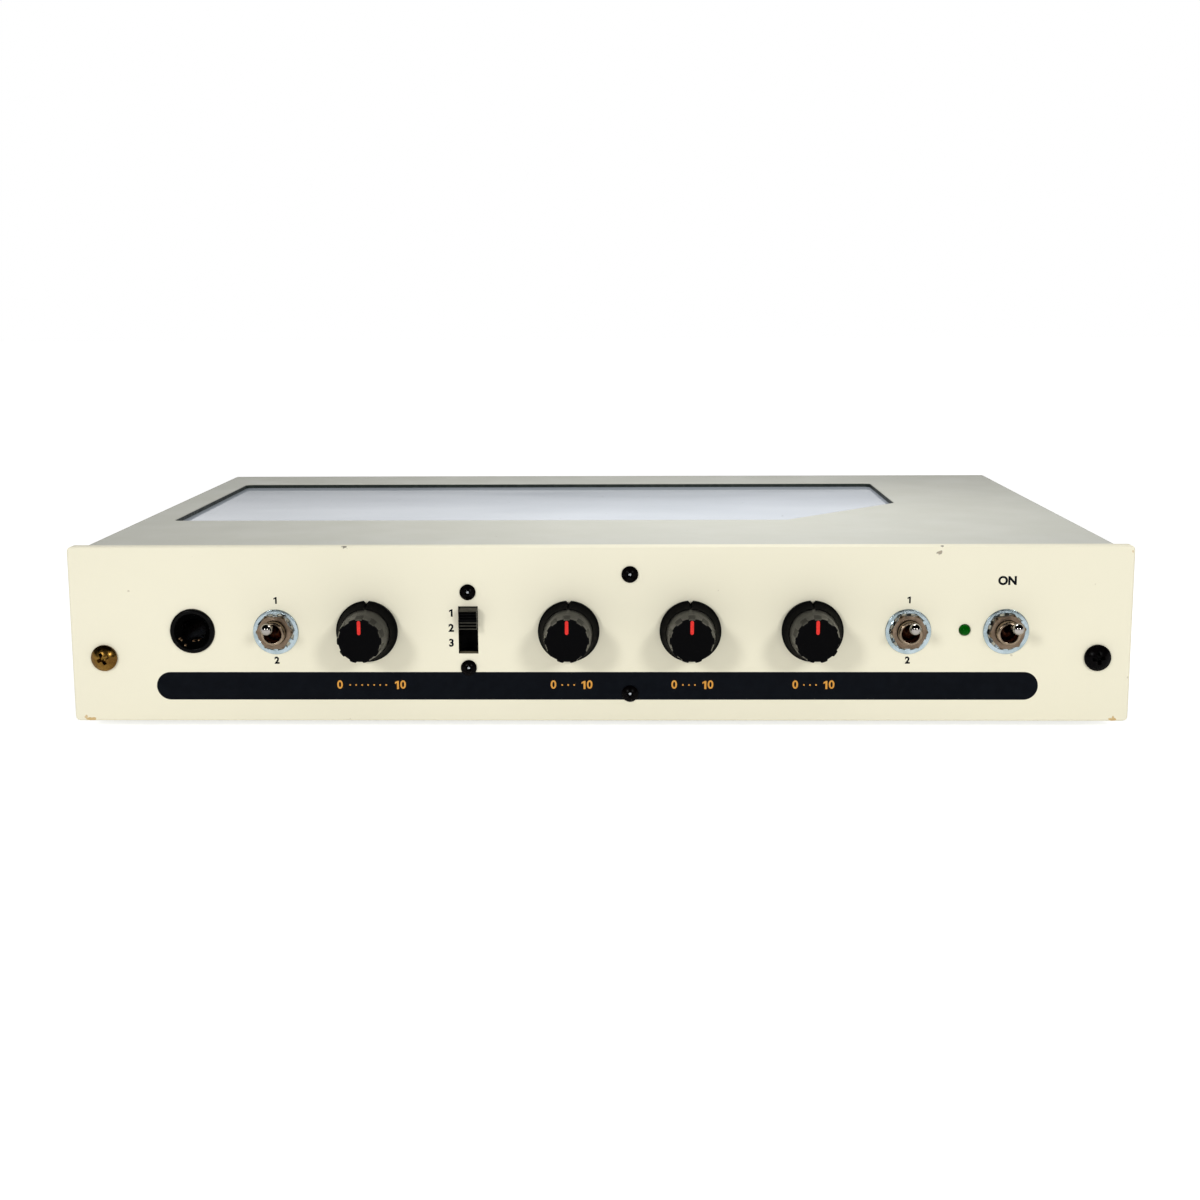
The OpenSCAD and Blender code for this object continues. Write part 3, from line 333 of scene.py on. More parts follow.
def piece(name, solid, slot, body, materials, *stands_for, sharp=32):
    """Makes a piece of the object from a bmesh: smooth, but creased at its sharp edges."""
    bmesh.ops.remove_doubles(solid, verts=solid.verts, dist=0.0005 * MM)
    bmesh.ops.recalc_face_normals(solid, faces=solid.faces)
    for face in solid.faces:
        face.smooth = True
    for edge in solid.edges:
        edge.smooth = len(edge.link_faces) == 2 and edge.calc_face_angle() < math.radians(sharp)
    mesh = bpy.data.meshes.new(name)
    solid.to_mesh(mesh)
    solid.free()
    for material in materials:
        mesh.materials.append(material)
    made = bpy.data.objects.new(name, mesh)
    bpy.context.scene.collection.objects.link(made)
    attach(made, body)
    if stands_for:
        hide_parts(*stands_for)
    return made


def mottled(name, colour, shade, patches, roughness, gloss, specular=0.5):
    """A moulding's finish: patches (waves, amount) of a shade, and gloss (waves, low, high)."""
    material = finish(name, colour, roughness, Specular_IOR_Level=specular)
    cloud(material, patches[0], shade, patches[1])
    uneven_gloss(material, *gloss)
    return material


foot_rubber = mottled("foot_rubber", srgb(38, 38, 38), srgb(52, 50, 48),
                      (300, 0.8), 0.8, (400, 0.7, 0.9), 0.3)
specks(foot_rubber, 1500, srgb(120, 115, 105), 0.5, 0.70)
grain(foot_rubber, 2500, 0.03)
foot_height = (panel_low.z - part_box("rubber_feet")[0].z) / MM
foot_radius, foot_round, foot_hole_r, recess_r, recess_floor = 6.5, 0.8, 1.6, 3.3, 1.0
foot_side, foot_front, foot_back = 18.8, 26, 20
case_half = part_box("top_cover")[1].x / MM
case_depth = (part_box("top_cover")[1].y - face_y) / MM
foot_places = [(side * (case_half - foot_side), y)
               for side in (-1, 1) for y in (foot_front, case_depth - foot_back)]
foot_profile = ([(foot_hole_r, 0), (foot_radius, 0)]
                + arc((foot_radius - foot_round, foot_height - foot_round), foot_round, 0, 90)
                + arc((recess_r + 0.3, foot_height - 0.3), 0.3, 90, 180, 3)
                + [(recess_r, recess_floor), (foot_hole_r, recess_floor)])
feet = bmesh.new()
for x, y in foot_places:
    lathe(feet, foot_profile, facing("down", x, y, 0), closed=True)
piece("foot_pads", feet, "foot_rubber", "case", [foot_rubber], "rubber_feet")


# ---------- Foot, cover and panel screws ----------
# Pan head machine screws with a cross recess. The one at the left end of the panel is
# yellow passivated and grimy in its recess; the others that show are black.
def carve(solid, cutter):
    """Takes the cutter's shape out of the solid and returns the rest."""
    made = []
    for part in (solid, cutter):
        bmesh.ops.recalc_face_normals(part, faces=part.faces)
        mesh = bpy.data.meshes.new("carved")
        part.to_mesh(mesh)
        part.free()
        holder = bpy.data.objects.new("carved", mesh)
        bpy.context.scene.collection.objects.link(holder)
        made.append(holder)
    cut = made[0].modifiers.new("cut", "BOOLEAN")
    cut.operation = "DIFFERENCE"
    cut.solver = "EXACT"
    cut.object = made[1]
    bpy.context.view_layer.update()
    shaped = made[0].evaluated_get(bpy.context.evaluated_depsgraph_get())
    rest = bmesh.new()
    rest.from_mesh(shaped.to_mesh())
    shaped.to_mesh_clear()
    for holder in made:
        bpy.data.objects.remove(holder)
    return rest


def block(solid, low, high, place, taper=1.0, paint=0):
    """A six-sided block between two corners in mm; taper narrows its lower face."""
    cx, cy = (low[0] + high[0]) / 2, (low[1] + high[1]) / 2
    corners = []
    for z, scale in ((low[2], taper), (high[2], 1.0)):
        for x, y in ((low[0], low[1]), (high[0], low[1]), (high[0], high[1]), (low[0], high[1])):
            point = Vector((cx + (x - cx) * scale, cy + (y - cy) * scale, z))
            corners.append(solid.verts.new(place @ point))
    for loop in ((3, 2, 1, 0), (4, 5, 6, 7), (0, 1, 5, 4), (1, 2, 6, 5), (2, 3, 7, 6), (3, 0, 4, 7)):
        solid.faces.new([corners[i] for i in loop]).material_index = paint


def screw_solid(place, head_r, head_h, thread_r, length, turn=0.0, worn=False):
    """A pan head on Z = 0 with a cross recess, worn bright in its middle, and its thread."""
    edge = head_h * 0.32
    dome_r = (head_r ** 2 + (head_h - edge) ** 2) / (2 * (head_h - edge))
    top = head_h - dome_r
    lean = math.degrees(math.asin(head_r / dome_r))
    half_pitch, root_r = 0.35, thread_r * 0.86
    turns = [(root_r if i % 2 else thread_r, -length + i * half_pitch)
             for i in range(int(length / half_pitch))]
    profile = ([(0, -length - 0.4)] + turns + [(root_r, 0), (head_r - 0.15, 0)]
               + [(head_r, 0.15), (head_r, edge)]
               + arc((0, top), dome_r, 90 - lean, 90, 10))
    profile[-1] = (0, head_h)
    solid = bmesh.new()
    lathe(solid, profile, place, 40)
    for quarter in (0, 90):
        blade = bmesh.new()
        spin = place @ Matrix.Rotation(math.radians(quarter + turn), 4, "Z")
        long, wide = head_r * 0.6, head_r * 0.17
        block(blade, (-long, -wide, head_h * 0.25), (long, wide, head_h + 0.5), spin, 0.42)
        solid = carve(solid, blade)
    point = bmesh.new()
    lathe(point, [(0, head_h * 0.15), (head_r * 0.19, head_h * 0.3), (head_r * 0.19, head_h + 0.5),
                  (0, head_h + 0.5)], place, 24)
    solid = carve(solid, point)
    if worn:
        lathe(solid, [(head_r * 0.22, head_h * 0.22), (head_r * 0.16, head_h * 0.42),
                      (0, head_h * 0.48)], place, 24, paint=1)
    return solid


def join(solids):
    """All of the solids in one."""
    whole = bmesh.new()
    for part in solids:
        mesh = bpy.data.meshes.new("joined")
        part.to_mesh(mesh)
        part.free()
        whole.from_mesh(mesh)
        bpy.data.meshes.remove(mesh)
    return whole


def plated(name, colour, patina, roughness, scale=1800, scratch=0.004):
    """Bare or plated metal with a little patina and fine handling marks."""
    material = finish(name, colour, roughness, 1.0)
    cloud(material, scale * 0.3, patina, 0.8)
    uneven_gloss(material, scale, roughness * 0.75, roughness * 1.35)
    grain(material, scale * 2.2, scratch)
    return material


black_oxide = mottled("black_oxide", srgb(3, 2, 3), srgb(7, 5, 5),
                      (1200, 0.7), 0.24, (1500, 0.18, 0.32), 0.03)
grain(black_oxide, 3000, 0.004)
zinc_plate = plated("zinc_plate", srgb(186, 190, 194), srgb(160, 164, 168), 0.32)
yellow_plate = plated("yellow_plate", srgb(124, 94, 42), srgb(80, 54, 24), 0.24, 900)
specks(yellow_plate, 1500, srgb(60, 42, 22), 0.8, 0.78)

# Head radius, head height, thread radius and length of each size of screw.
side_screw, centre_screw, switch_screw = (3.5, 2.2, 2.0, 8), (2.2, 1.3, 1.3, 6), (2.1, 1.3, 1.3, 5)
cover_screw, foot_screw = (2.8, 1.7, 1.5, 4), (3, 1.125, 1.5, 3.4)
side_x, _, side_z = middle("side_screw_right")
piece("left_screw", screw_solid(facing("front", -side_x, 0, side_z), *side_screw, 24),
      "yellow_screw", "case", [yellow_plate], "side_screw_left")
piece("right_screw", screw_solid(facing("front", side_x, 0, side_z), *side_screw, 8),
      "black_screws", "case", [black_oxide], "side_screw_right")
# Two pairs of small black screws, one above the other, each worn bright in its recess.
centre_x, _, centre_z = middle("centre_screws")
switch_x, _, switch_z = middle("mode_switch_frame")
for name, node, x, z, size, turn, apart in (
        ("middle_screws", "centre_screws", centre_x, centre_z, centre_screw, 15, 20),
        ("slide_switch_screws", "switch_screws", switch_x, switch_z, switch_screw, 40, -12)):
    span = half_height(node) - size[0]
    piece(name, join(screw_solid(facing("front", x, 0, z + side * span), *size, turn + side * apart, True)
                     for side in (-1, 1)), "black_screws", "case", [black_oxide, zinc_plate], node)
cover_screw_z = middle("cover_screws")[2]
cover_screw_front, cover_screw_back = 32, 22
piece("side_cover_screws",
      join(screw_solid(facing(way, side * case_half, y, cover_screw_z), *cover_screw, y)
           for way, side in (("left", -1), ("right", 1))
           for y in (cover_screw_front, case_depth - cover_screw_back)),
      "black_screws", "case", [black_oxide], "cover_screws")
piece("sunk_foot_screws",
      join(screw_solid(facing("down", x, y, -1), *foot_screw, x) for x, y in foot_places),
      "bright_screws", "case", [zinc_plate], "foot_screws")


# ---------- Top cover ----------
# Folded from one sheet and slid over the tray. The window's cut edge carries a thin dark
# band, painted shade for the cut edge in shadow and its reflection in the pane, which shows as a line along
# its far side and its ends.
# The cover's greyer cream is painted shade over the panel's enamel.
dress(shaded_cream_enamel, "top_cover")
# The band's dark green-black is painted shade.
window_shade_band = mottled("window_shade_band", srgb(22, 32, 28), srgb(38, 46, 40),
                        (500, 0.8), 0.55, (900, 0.45, 0.7), 0.3)
cover_top = (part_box("top_cover")[1].z - sill_z) / MM
cover_sheet = 1.2


def rounded_corners(corners, steps=5):
    """A closed outline through (x, y, radius) corners, with its round ones as arcs."""
    points = []
    for i, (x, y, radius) in enumerate(corners):
        before, after = corners[i - 1], corners[(i + 1) % len(corners)]
        here = Vector((x, y))
        back = (Vector(before[:2]) - here).normalized()
        ahead = (Vector(after[:2]) - here).normalized()
        half = back.angle(ahead) / 2
        if radius <= 0:
            points.append((x, y))
            continue
        centre = here + (back + ahead).normalized() * radius / math.sin(half)
        start = here + back * radius / math.tan(half) - centre
        end = here + ahead * radius / math.tan(half) - centre
        sweep = start.angle_signed(end)
        for k in range(steps + 1):
            spoke = Matrix.Rotation(-sweep * k / steps, 2) @ start
            points.append((centre.x + spoke.x, centre.y + spoke.y))
    return points


left_margin, right_margin, front_margin, back_margin = 11.3, 45.8, 53.8, 29.5
cut_wide, cut_deep = 37, 41.5


def window_corners(grow):
    """The window's corners, counterclockwise from its front left, grown on every side. The ends
    of the slanted side move 0.42 as far, because it lies near 45 degrees."""
    left, right = -case_half + left_margin - grow, case_half - right_margin + grow
    front, back = front_margin - grow, case_depth - back_margin + grow
    slant = grow * 0.42
    return [(left, front, 2), (right - cut_wide - slant, front, 0),
            (right, front + cut_deep + slant, 0),
            (right, back, 2), (left, back, 2)]


def band(solid, outer, inner, low, high, place, paint=0):
    """A closed band between two outlines with as many points."""
    loops = [[solid.verts.new(place @ Vector((x, y, z))) for x, y in outline]
             for outline, z in ((outer, low), (outer, high), (inner, high), (inner, low))]
    for i, loop in enumerate(loops):
        beside = loops[(i + 1) % 4]
        for a in range(len(loop)):
            b = (a + 1) % len(loop)
            solid.faces.new((loop[a], loop[b], beside[b], beside[a])).material_index = paint


edging = bmesh.new()
band(edging, rounded_corners(window_corners(-0.05)), rounded_corners(window_corners(-0.30)),
     cover_top - cover_sheet + 0.05, cover_top - 0.15, facing("up", 0, 0, 0))
piece("window_edge", edging, "window_edging", "case", [window_shade_band])


# ---------- Window pane ----------
# Clear acrylic clamped under the cover. It mirrors more the flatter it is looked at. Its pale
# blue-grey colour is partly a film of dust and partly painted reflection, which grows more opaque the flatter
# the pane is looked at, so that the transport under it shows best from straight above.
pane = finish("pane_acrylic", srgb(204, 212, 222), 0.10, IOR=1.49, Alpha=0.4)
cloud(pane, 14, srgb(190, 199, 208), 0.8)
specks(pane, 600, srgb(120, 120, 112), 0.6, 0.84)
uneven_gloss(pane, 16, 0.07, 0.12, (1, 4, 1))
pane_tree = pane.node_tree
# The Fresnel weight makes the pale colour more opaque at a slant: a painted reflection.
slant_view = add_node(pane_tree, "ShaderNodeLayerWeight")
slant_view.inputs["Blend"].default_value = 0.35
wire(pane_tree, ramp(pane, slant_view.outputs["Fresnel"], 0.16, 0.93, 0.02, 0.45),
     pane_tree.nodes["Principled BSDF"].inputs["Alpha"])
dress(pane, "window_pane")


# ---------- Front panel ----------
# Thicker steel with its own coat of cream enamel. Knocks have chipped it along its edges and
# left tan marks at its lower corners.
def chip(material, x, z, radius, colour, stretch=1.0, amount=1.0):
    """A knock in the enamel: a ragged spot at a place on the panel, in mm."""
    tree = material.node_tree
    place = add_node(tree, "ShaderNodeTexCoord")
    offset = add_node(tree, "ShaderNodeMapping")
    spot = at(x, 0, z)
    flat = (1 / stretch, 1, 1)
    offset.inputs["Scale"].default_value = flat
    offset.inputs["Location"].default_value = (-spot.x / stretch, -spot.y, -spot.z)
    away = add_node(tree, "ShaderNodeVectorMath", operation="LENGTH")
    wire(tree, place.outputs["Object"], offset.inputs["Vector"])
    wire(tree, offset.outputs["Vector"], away.inputs[0])
    ragged = add_node(tree, "ShaderNodeMath", operation="MULTIPLY_ADD")
    wire(tree, ramp(material, noise(material, 1600, 2), -1, 1, 0, 1), ragged.inputs[0])
    ragged.inputs[1].default_value = radius * MM
    wire(tree, away.outputs["Value"], ragged.inputs[2])
    tint(material, ramp(material, ragged.outputs[0], amount, 0, radius * MM, radius * MM * 1.3), colour)


panel_enamel = enamel("panel_enamel", srgb(239, 234, 211), srgb(235, 230, 206), srgb(160, 145, 120))
bare_steel = srgb(96, 92, 82)
old_glue = srgb(206, 176, 122)
chip(panel_enamel, -66.5, 47.0, 0.5, bare_steel, 1.6, 0.8)
chip(panel_enamel, 89.2, 45.1, 0.42, srgb(140, 128, 110), 1.5, 0.8)
chip(panel_enamel, 89.8, 47.0, 0.3, bare_steel, 2.0, 0.7)
chip(panel_enamel, -135.7, 0.4, 0.55, old_glue, 1.7)
chip(panel_enamel, -137.1, 1.0, 0.45, old_glue, 0.8, 0.8)
chip(panel_enamel, 136.0, 0.4, 0.5, old_glue, 1.8)
chip(panel_enamel, 136.1, 1.1, 0.35, old_glue, 0.5, 0.9)
chip(panel_enamel, 139.3, 45.4, 0.3, old_glue, 0.7, 0.7)
dress(panel_enamel, "front_panel")


# ---------- Print on the panel ----------
# Screen printed ink: a dark stripe with round ends, orange scales for the knobs on it, and
# plain numbers at the switches.
def flat_shape(curve):
    """The filled mesh of a flat curve or of lettering."""
    holder = bpy.data.objects.new("flat", curve)
    bpy.context.scene.collection.objects.link(holder)
    bpy.context.view_layer.update()
    shaped = holder.evaluated_get(bpy.context.evaluated_depsgraph_get())
    mesh = bpy.data.meshes.new_from_object(shaped)
    bpy.data.objects.remove(holder)
    return mesh


ink_height = 0.03
capital_share = 0.72


def lettering(solid, text, x, z, cap_height, weight=0.0):
    """Adds letters to a print, centred on a place of the panel; heights in mm."""
    curve = bpy.data.curves.new("letters", "FONT")
    curve.body = text
    curve.align_x = "CENTER"
    curve.align_y = "CENTER"
    curve.size = cap_height / capital_share
    curve.extrude = ink_height / 2
    curve.offset = weight
    mesh = flat_shape(curve)
    mesh.transform(facing("front", x, ink_height / 2, z) @ Matrix.Translation((0, 0, ink_height)))
    solid.from_mesh(mesh)
    bpy.data.meshes.remove(mesh)
    bpy.data.curves.remove(curve)


def thicken(solid, first, last):
    """Closes two outlines of vertices into a solid, and returns the sides between them."""
    solid.faces.new(first)
    solid.faces.new(list(reversed(last)))
    beside = zip(first, first[1:] + first[:1], last[1:] + last[:1], last)
    return [solid.faces.new(corners) for corners in beside]


def numeral_one(solid, x, z, cap_height):
    """A figure one with a flag, which the plain letters lack."""
    outline = [(0.03, -0.5), (0.27, -0.5), (0.27, 0.5), (0.1, 0.5), (-0.2, 0.34), (-0.2, 0.12),
               (0.03, 0.26)]
    rims = [[solid.verts.new(at(x + u * cap_height, -out, z + v * cap_height)) for u, v in outline]
            for out in (0, ink_height)]
    thicken(solid, *rims)


def ink(name, colour, patch):
    return mottled(name, colour, patch, (500, 0.7), 0.5, (300, 0.42, 0.6), 0.04)


def bar(solid, left, right, low, high, out):
    """A printed bar with round ends."""
    radius = (high - low) / 2
    middle_z = (low + high) / 2
    outline = (arc((right - radius, middle_z), radius, -90, 90, 18)
               + arc((left + radius, middle_z), radius, 90, 270, 18))
    rims = [[solid.verts.new(at(x, -level, z)) for x, z in outline]
            for level in (out - ink_height, out)]
    thicken(solid, *rims)


knob_names = ("volume", "echo", "repeat", "time")
knob_places = {name: middle("knob_" + name) for name in knob_names}
toggle_places = {name: middle("lever_" + name)[0] for name in ("attenuator", "cancel", "power")}
row_z = middle("toggle_nuts")[2]
stripe = bmesh.new()
stripe_left, stripe_right, stripe_low, stripe_high = -117.65, 116.0, 5.8, 13.3
bar(stripe, stripe_left, stripe_right, stripe_low, stripe_high, ink_height)
dark_ink = ink("dark_ink", srgb(7, 10, 16), srgb(11, 15, 21))
piece("panel_stripe", stripe, "print_dark", "case", [dark_ink])

mode_cap, toggle_cap, on_cap, scale_cap = 2.0, 1.8, 2.2, 2.2
numbers = bmesh.new()
numeral_one(numbers, switch_x - 4.6, 29.2, mode_cap)
for number, z in (("2", 25.1), ("3", 21.1)):
    lettering(numbers, number, switch_x - 4.5, z, mode_cap, 0.11)
for name in ("attenuator", "cancel"):
    numeral_one(numbers, toggle_places[name], row_z + 8.2, toggle_cap)
    lettering(numbers, "2", toggle_places[name], row_z - 8.0, toggle_cap, 0.11)
lettering(numbers, "ON", toggle_places["power"], row_z + 13.2, on_cap, 0.14)
piece("panel_numbers", numbers, "print_dark", "case", [dark_ink])

scales = bmesh.new()
scale_z = (stripe_low + stripe_high) / 2 + 0.25
dot_r = 0.22
for name in knob_names:
    x = knob_places[name][0] + 0.2
    half = 8.0 if name == "volume" else 4.4
    dots = 7 if name == "volume" else 3
    lettering(scales, "0", x - half, scale_z, scale_cap, 0.07)
    numeral_one(scales, x + half - 0.9, scale_z, scale_cap)
    lettering(scales, "0", x + half + 0.8, scale_z, scale_cap, 0.07)
    for i in range(dots):
        dot_x = x - 0.5 + (i - (dots - 1) / 2) * 1.6
        bar(scales, dot_x - dot_r, dot_x + dot_r, scale_z - dot_r, scale_z + dot_r, 2 * ink_height)
orange_ink = ink("orange_ink", srgb(222, 160, 75), srgb(206, 142, 60))
for vertex in scales.verts:
    if vertex.co.y > face_y - ink_height * 0.5 * MM:
        vertex.co.y = face_y - ink_height * 0.5 * MM
    else:
        vertex.co.y = face_y - 2 * ink_height * MM
piece("knob_scales", scales, "print_orange", "case", [orange_ink])


# ---------- Knobs ----------
# Moulded black phenolic: a dull rim with a notch and a slope, a glossy body with ten short
# flutes, and a dull flat face with a red line let into it. Each grips its own shaft.
skirt_r, knob_r, face_r, flat_r = 8.1, 6.5, 5.75, 5.2
knob_gap, knob_h, rim_h, slope_h = 0.8, 14.42, 1.6, 3.0
flute_count, flute_start, flute_depth, flute_half_angle, flute_side_angle = 10, 10.6, 0.36, 9.6, 1.5
notch_depth, notch_half_angle, notch_run = 0.85, 4.5, 1.2
shaft_hole_r, shaft_hole_h, cup_r, cup_h = 3.05, 12, 5.6, 2.6


def knob_shape(radius, height, angle):
    """Cuts the flutes into the body and the notch into the rim."""
    if height > flute_start and radius > flat_r + 0.1:
        pitch = 2 * math.pi / flute_count
        off = abs((angle - math.pi / 2 + pitch / 2) % pitch - pitch / 2)
        share = min(1.0, max(0.0, (math.radians(flute_half_angle) - off) / math.radians(flute_side_angle)))
        return radius - flute_depth * share
    if radius > knob_r and height > -0.1:
        off = abs(angle - math.pi / 2) / math.radians(notch_half_angle)
        return radius - notch_depth * max(0.0, 1 - off) * min(1, (radius - knob_r) / notch_run)
    return radius


phenolic = mottled("knob_phenolic", srgb(5, 5, 6), srgb(10, 10, 10),
                   (900, 0.6), 0.2, (500, 0.16, 0.26), 0.05)
specks(phenolic, 2200, srgb(90, 86, 78), 0.3, 0.87)
grain(phenolic, 3000, 0.002)
dull_face = mottled("knob_face", srgb(5, 5, 6), srgb(9, 9, 10), (1500, 0.6), 0.5, (1500, 0.42, 0.6), 0.02)
pointer_red = mottled("pointer_red", srgb(226, 40, 30), srgb(196, 26, 20),
                      (2500, 0.7), 0.35, (2500, 0.28, 0.45), 0.3)

slope = [(knob_r + 0.12 + (skirt_r - 0.42 - knob_r) * (1 - t) ** 1.2, rim_h + slope_h * t)
         for t in (0, 0.1, 0.25, 0.4, 0.55, 0.7, 0.85, 1)]
side = [(knob_r + (face_r - knob_r) * t, rim_h + slope_h + (knob_h - 0.14 - rim_h - slope_h) * t)
        for t in (0.0, 0.25, 0.5, 0.614, 0.616, 0.8, 1.0)]
skirt_profile = ([(0, shaft_hole_h), (shaft_hole_r, shaft_hole_h), (shaft_hole_r, cup_h), (cup_r, cup_h),
                  (cup_r, 0.2), (cup_r + 0.2, 0), (skirt_r - 0.25, 0)]
                + arc((skirt_r - 0.2, 0.25), 0.2, -60, 0, 3)
                + arc((skirt_r - 0.25, rim_h - 0.3), 0.25, 0, 80, 4)
                + slope)
body_profile = side + arc((face_r - 0.12, knob_h - 0.12), 0.12, 10, 90, 3)
for name in knob_names:
    x, _, z = knob_places[name]
    place = facing("front", x, -knob_gap, z)
    knob = bmesh.new()
    lathe(knob, skirt_profile, place, 240, knob_shape, paint=1)
    lathe(knob, body_profile, place, 240, knob_shape)
    lathe(knob, [(face_r - 0.12, knob_h), (flat_r, knob_h), (0, knob_h)], place, 240, knob_shape, paint=1)
    piece("dial_" + name, knob, "knob_plastic", name + "_knob", [phenolic, dull_face],
          "knob_" + name, sharp=28)
    line = bmesh.new()
    top, bottom, half_width = face_r - 0.45, face_r - 4.1, 0.48
    outline = (arc((0, top - half_width), half_width, 0, 180, 12)
               + arc((0, bottom + half_width), half_width, 180, 360, 12))
    lower = [line.verts.new(place @ Vector((u, v, knob_h - 0.02))) for u, v in outline]
    upper = [line.verts.new(place @ Vector((u * 0.82, v, knob_h + 0.07))) for u, v in outline]
    thicken(line, lower, upper)
    piece("line_" + name, line, "pointer_red", name + "_knob", [pointer_red])

# Ground steel shafts in the nickel bushings of the potentiometers behind the panel.
shaft_steel = plated("shaft_steel", srgb(176, 178, 180), srgb(150, 152, 155), 0.3)
dress(shaft_steel, "shaft_volume", "shaft_echo", "shaft_repeat", "shaft_time")
pot_plate = plated("pot_plate", srgb(160, 168, 160), srgb(132, 140, 134), 0.38)
dress(pot_plate, "pot_bodies")


# ---------- Toggle switches ----------
# Miniature toggles: a bushing of dull nickel with a rolled lip, an internal tooth lock
# washer of bright zinc, a thin hex nut and a chromed bat lever.
bushing_r, mouth_r, bushing_out, bushing_back = 3.175, 2.5, 4.8, -4.4
thread_pitch, thread_depth, thread_turns = 0.8, 0.22, 11
lip_r, washer_drop = 2.32, 0.2
nut_flats, nut_height, nut_seat = 8.6, 2.0, 0.8
washer_r, washer_thick, washer_wide, washer_teeth = 6.0, 0.5, 1.05, 12
lever_length, tip_r, lever_tilt, power_lean = 13.2, 1.5, 11.5, 3
dull_nickel = plated("dull_nickel", srgb(126, 109, 92), srgb(100, 85, 70), 0.34, 1100)
specks(dull_nickel, 2200, srgb(70, 58, 46), 0.6, 0.80)
dress(dull_nickel, "pot_nuts")
lip_nickel = plated("lip_nickel", srgb(140, 124, 106), srgb(106, 92, 76), 0.24, 1100)
bright_zinc = plated("bright_zinc", srgb(168, 182, 188), srgb(140, 156, 160), 0.20, 1100)
specks(bright_zinc, 2000, srgb(70, 84, 74), 0.6, 0.83)
lever_chrome = plated("lever_chrome", srgb(162, 157, 152), srgb(146, 141, 136), 0.08, 900, 0.001)
pivot_brown = plated("pivot_brown", srgb(112, 84, 66), srgb(72, 52, 42), 0.36, 1100)
bore_bronze = plated("bore_bronze", srgb(150, 92, 62), srgb(96, 60, 44), 0.4, 1100)


def hexagon(flats, hole):
    """A radius function that turns a round profile into a hexagon outside its hole."""
    def shape(radius, height, angle):
        if radius <= hole + 0.6:
            return radius
        sector = (angle + math.pi / 6) % (math.pi / 3) - math.pi / 6
        return min(radius, flats / 2 / math.cos(sector))
    return shape


def nut_profile(flats, height, hole):
    corner = flats / math.sqrt(3)
    return [(hole, 0.25), (hole + 0.25, 0), (flats / 2 - 0.1, 0), (corner, 0.3), (corner, height - 0.5),
            (flats / 2 + 0.1, height), (hole + 0.12, height), (hole, height - 0.12)]


def toggle_parts(x):
    """The still pieces of one toggle, before the panel: washer, nut and bushing."""
    washer = bmesh.new()
    ring_in = washer_r - washer_wide
    lathe(washer, arc((washer_r - 0.15, washer_thick - 0.15), 0.15, 0, 90, 3) + [(ring_in, washer_thick)]
          + [(ring_in, 0), (washer_r, 0)], facing("front", x, 0, row_z - washer_drop), 96, closed=True)
    tooth_in = bushing_r + 0.35
    for i in range(washer_teeth):
        turn = Matrix.Rotation(2 * math.pi * i / washer_teeth, 4, "Z")
        twist = Matrix.Translation((0, 0, nut_seat / 2)) @ Matrix.Rotation(math.radians(20), 4, "X")
        tooth = facing("front", x, 0, row_z - washer_drop) @ turn @ twist
        block(washer, (tooth_in, -0.62, -0.16), (ring_in + 0.12, 0.62, 0.16), tooth)
    nut = bmesh.new()
    turned = facing("front", x, -nut_seat, row_z) @ Matrix.Rotation(math.radians(x * 0.37), 4, "Z")
    lathe(nut, nut_profile(nut_flats, nut_height, bushing_r + 0.03), turned, 96,
          hexagon(nut_flats, bushing_r + 0.03), closed=True)
    bushing = bmesh.new()
    thread = []
    for i in range(thread_turns):
        crest = bushing_back + i * thread_pitch
        thread += [(bushing_r, crest), (bushing_r - thread_depth, crest + thread_pitch / 2)]
    profile = ([(mouth_r, bushing_back)] + thread + arc((bushing_r - 0.6, bushing_out - 0.6), 0.6, 0, 90, 8)
               + [(lip_r + 0.1, bushing_out - 0.05), (lip_r, bushing_out - 0.25), (lip_r, bushing_out - 0.6)]
               + [(mouth_r, bushing_out - 0.85)])
    lathe(bushing, profile, facing("front", x, 0, row_z), 72, closed=True)
    lathe(bushing, [(mouth_r - 0.02, 0.6), (mouth_r - 0.02, 3.3), (mouth_r - 0.1, 3.5),
                    (mouth_r - 0.1, 0.6)], facing("front", x, 0, row_z), 48, closed=True, paint=1)
    return washer, nut, bushing


made = [toggle_parts(x) for x in toggle_places.values()]
piece("lock_washers", join(parts[0] for parts in made), "washer_zinc", "case", [bright_zinc],
      "toggle_washers")
piece("hex_nuts", join(parts[1] for parts in made), "nut_nickel", "case", [dull_nickel],
      "toggle_nuts")
piece("threaded_bushings", join(parts[2] for parts in made), "bushing_nickel", "case",
      [lip_nickel, bore_bronze], "toggle_bushings")
ball_r = mouth_r - 0.1
pivot = [(0, -5), (0.8, -4.9), (0.8, -ball_r + 0.14)] + arc((0, 0), ball_r, -68, 66, 12)
bat = (pivot[-1:] + [(0.85, ball_r + 0.1), (0.85, 4.0), (0.95, 6.0), (1.12, 8.5), (1.28, 10.8)]
       + arc((0, lever_length), tip_r, -12, 90, 9))
bat[-1] = (0, lever_length + tip_r)
for name, x in toggle_places.items():
    lever = bmesh.new()
    lean = Matrix.Rotation(math.radians(-lever_tilt), 4, "X")
    if name == "power":
        lean = Matrix.Rotation(math.radians(power_lean), 4, "Y") @ lean
    stem = facing("front", x, 1, row_z) @ lean
    lathe(lever, pivot, stem, 48, paint=1)
    lathe(lever, bat, stem, 48)
    piece("bat_" + name, lever, "lever_chrome", name + "_toggle", [lever_chrome, pivot_brown],
          "lever_" + name)
blue_phenolic = mottled("toggle_case", srgb(48, 72, 128), srgb(40, 60, 112),
                        (800, 0.7), 0.45, (900, 0.38, 0.55))
dress(blue_phenolic, "toggle_bodies")


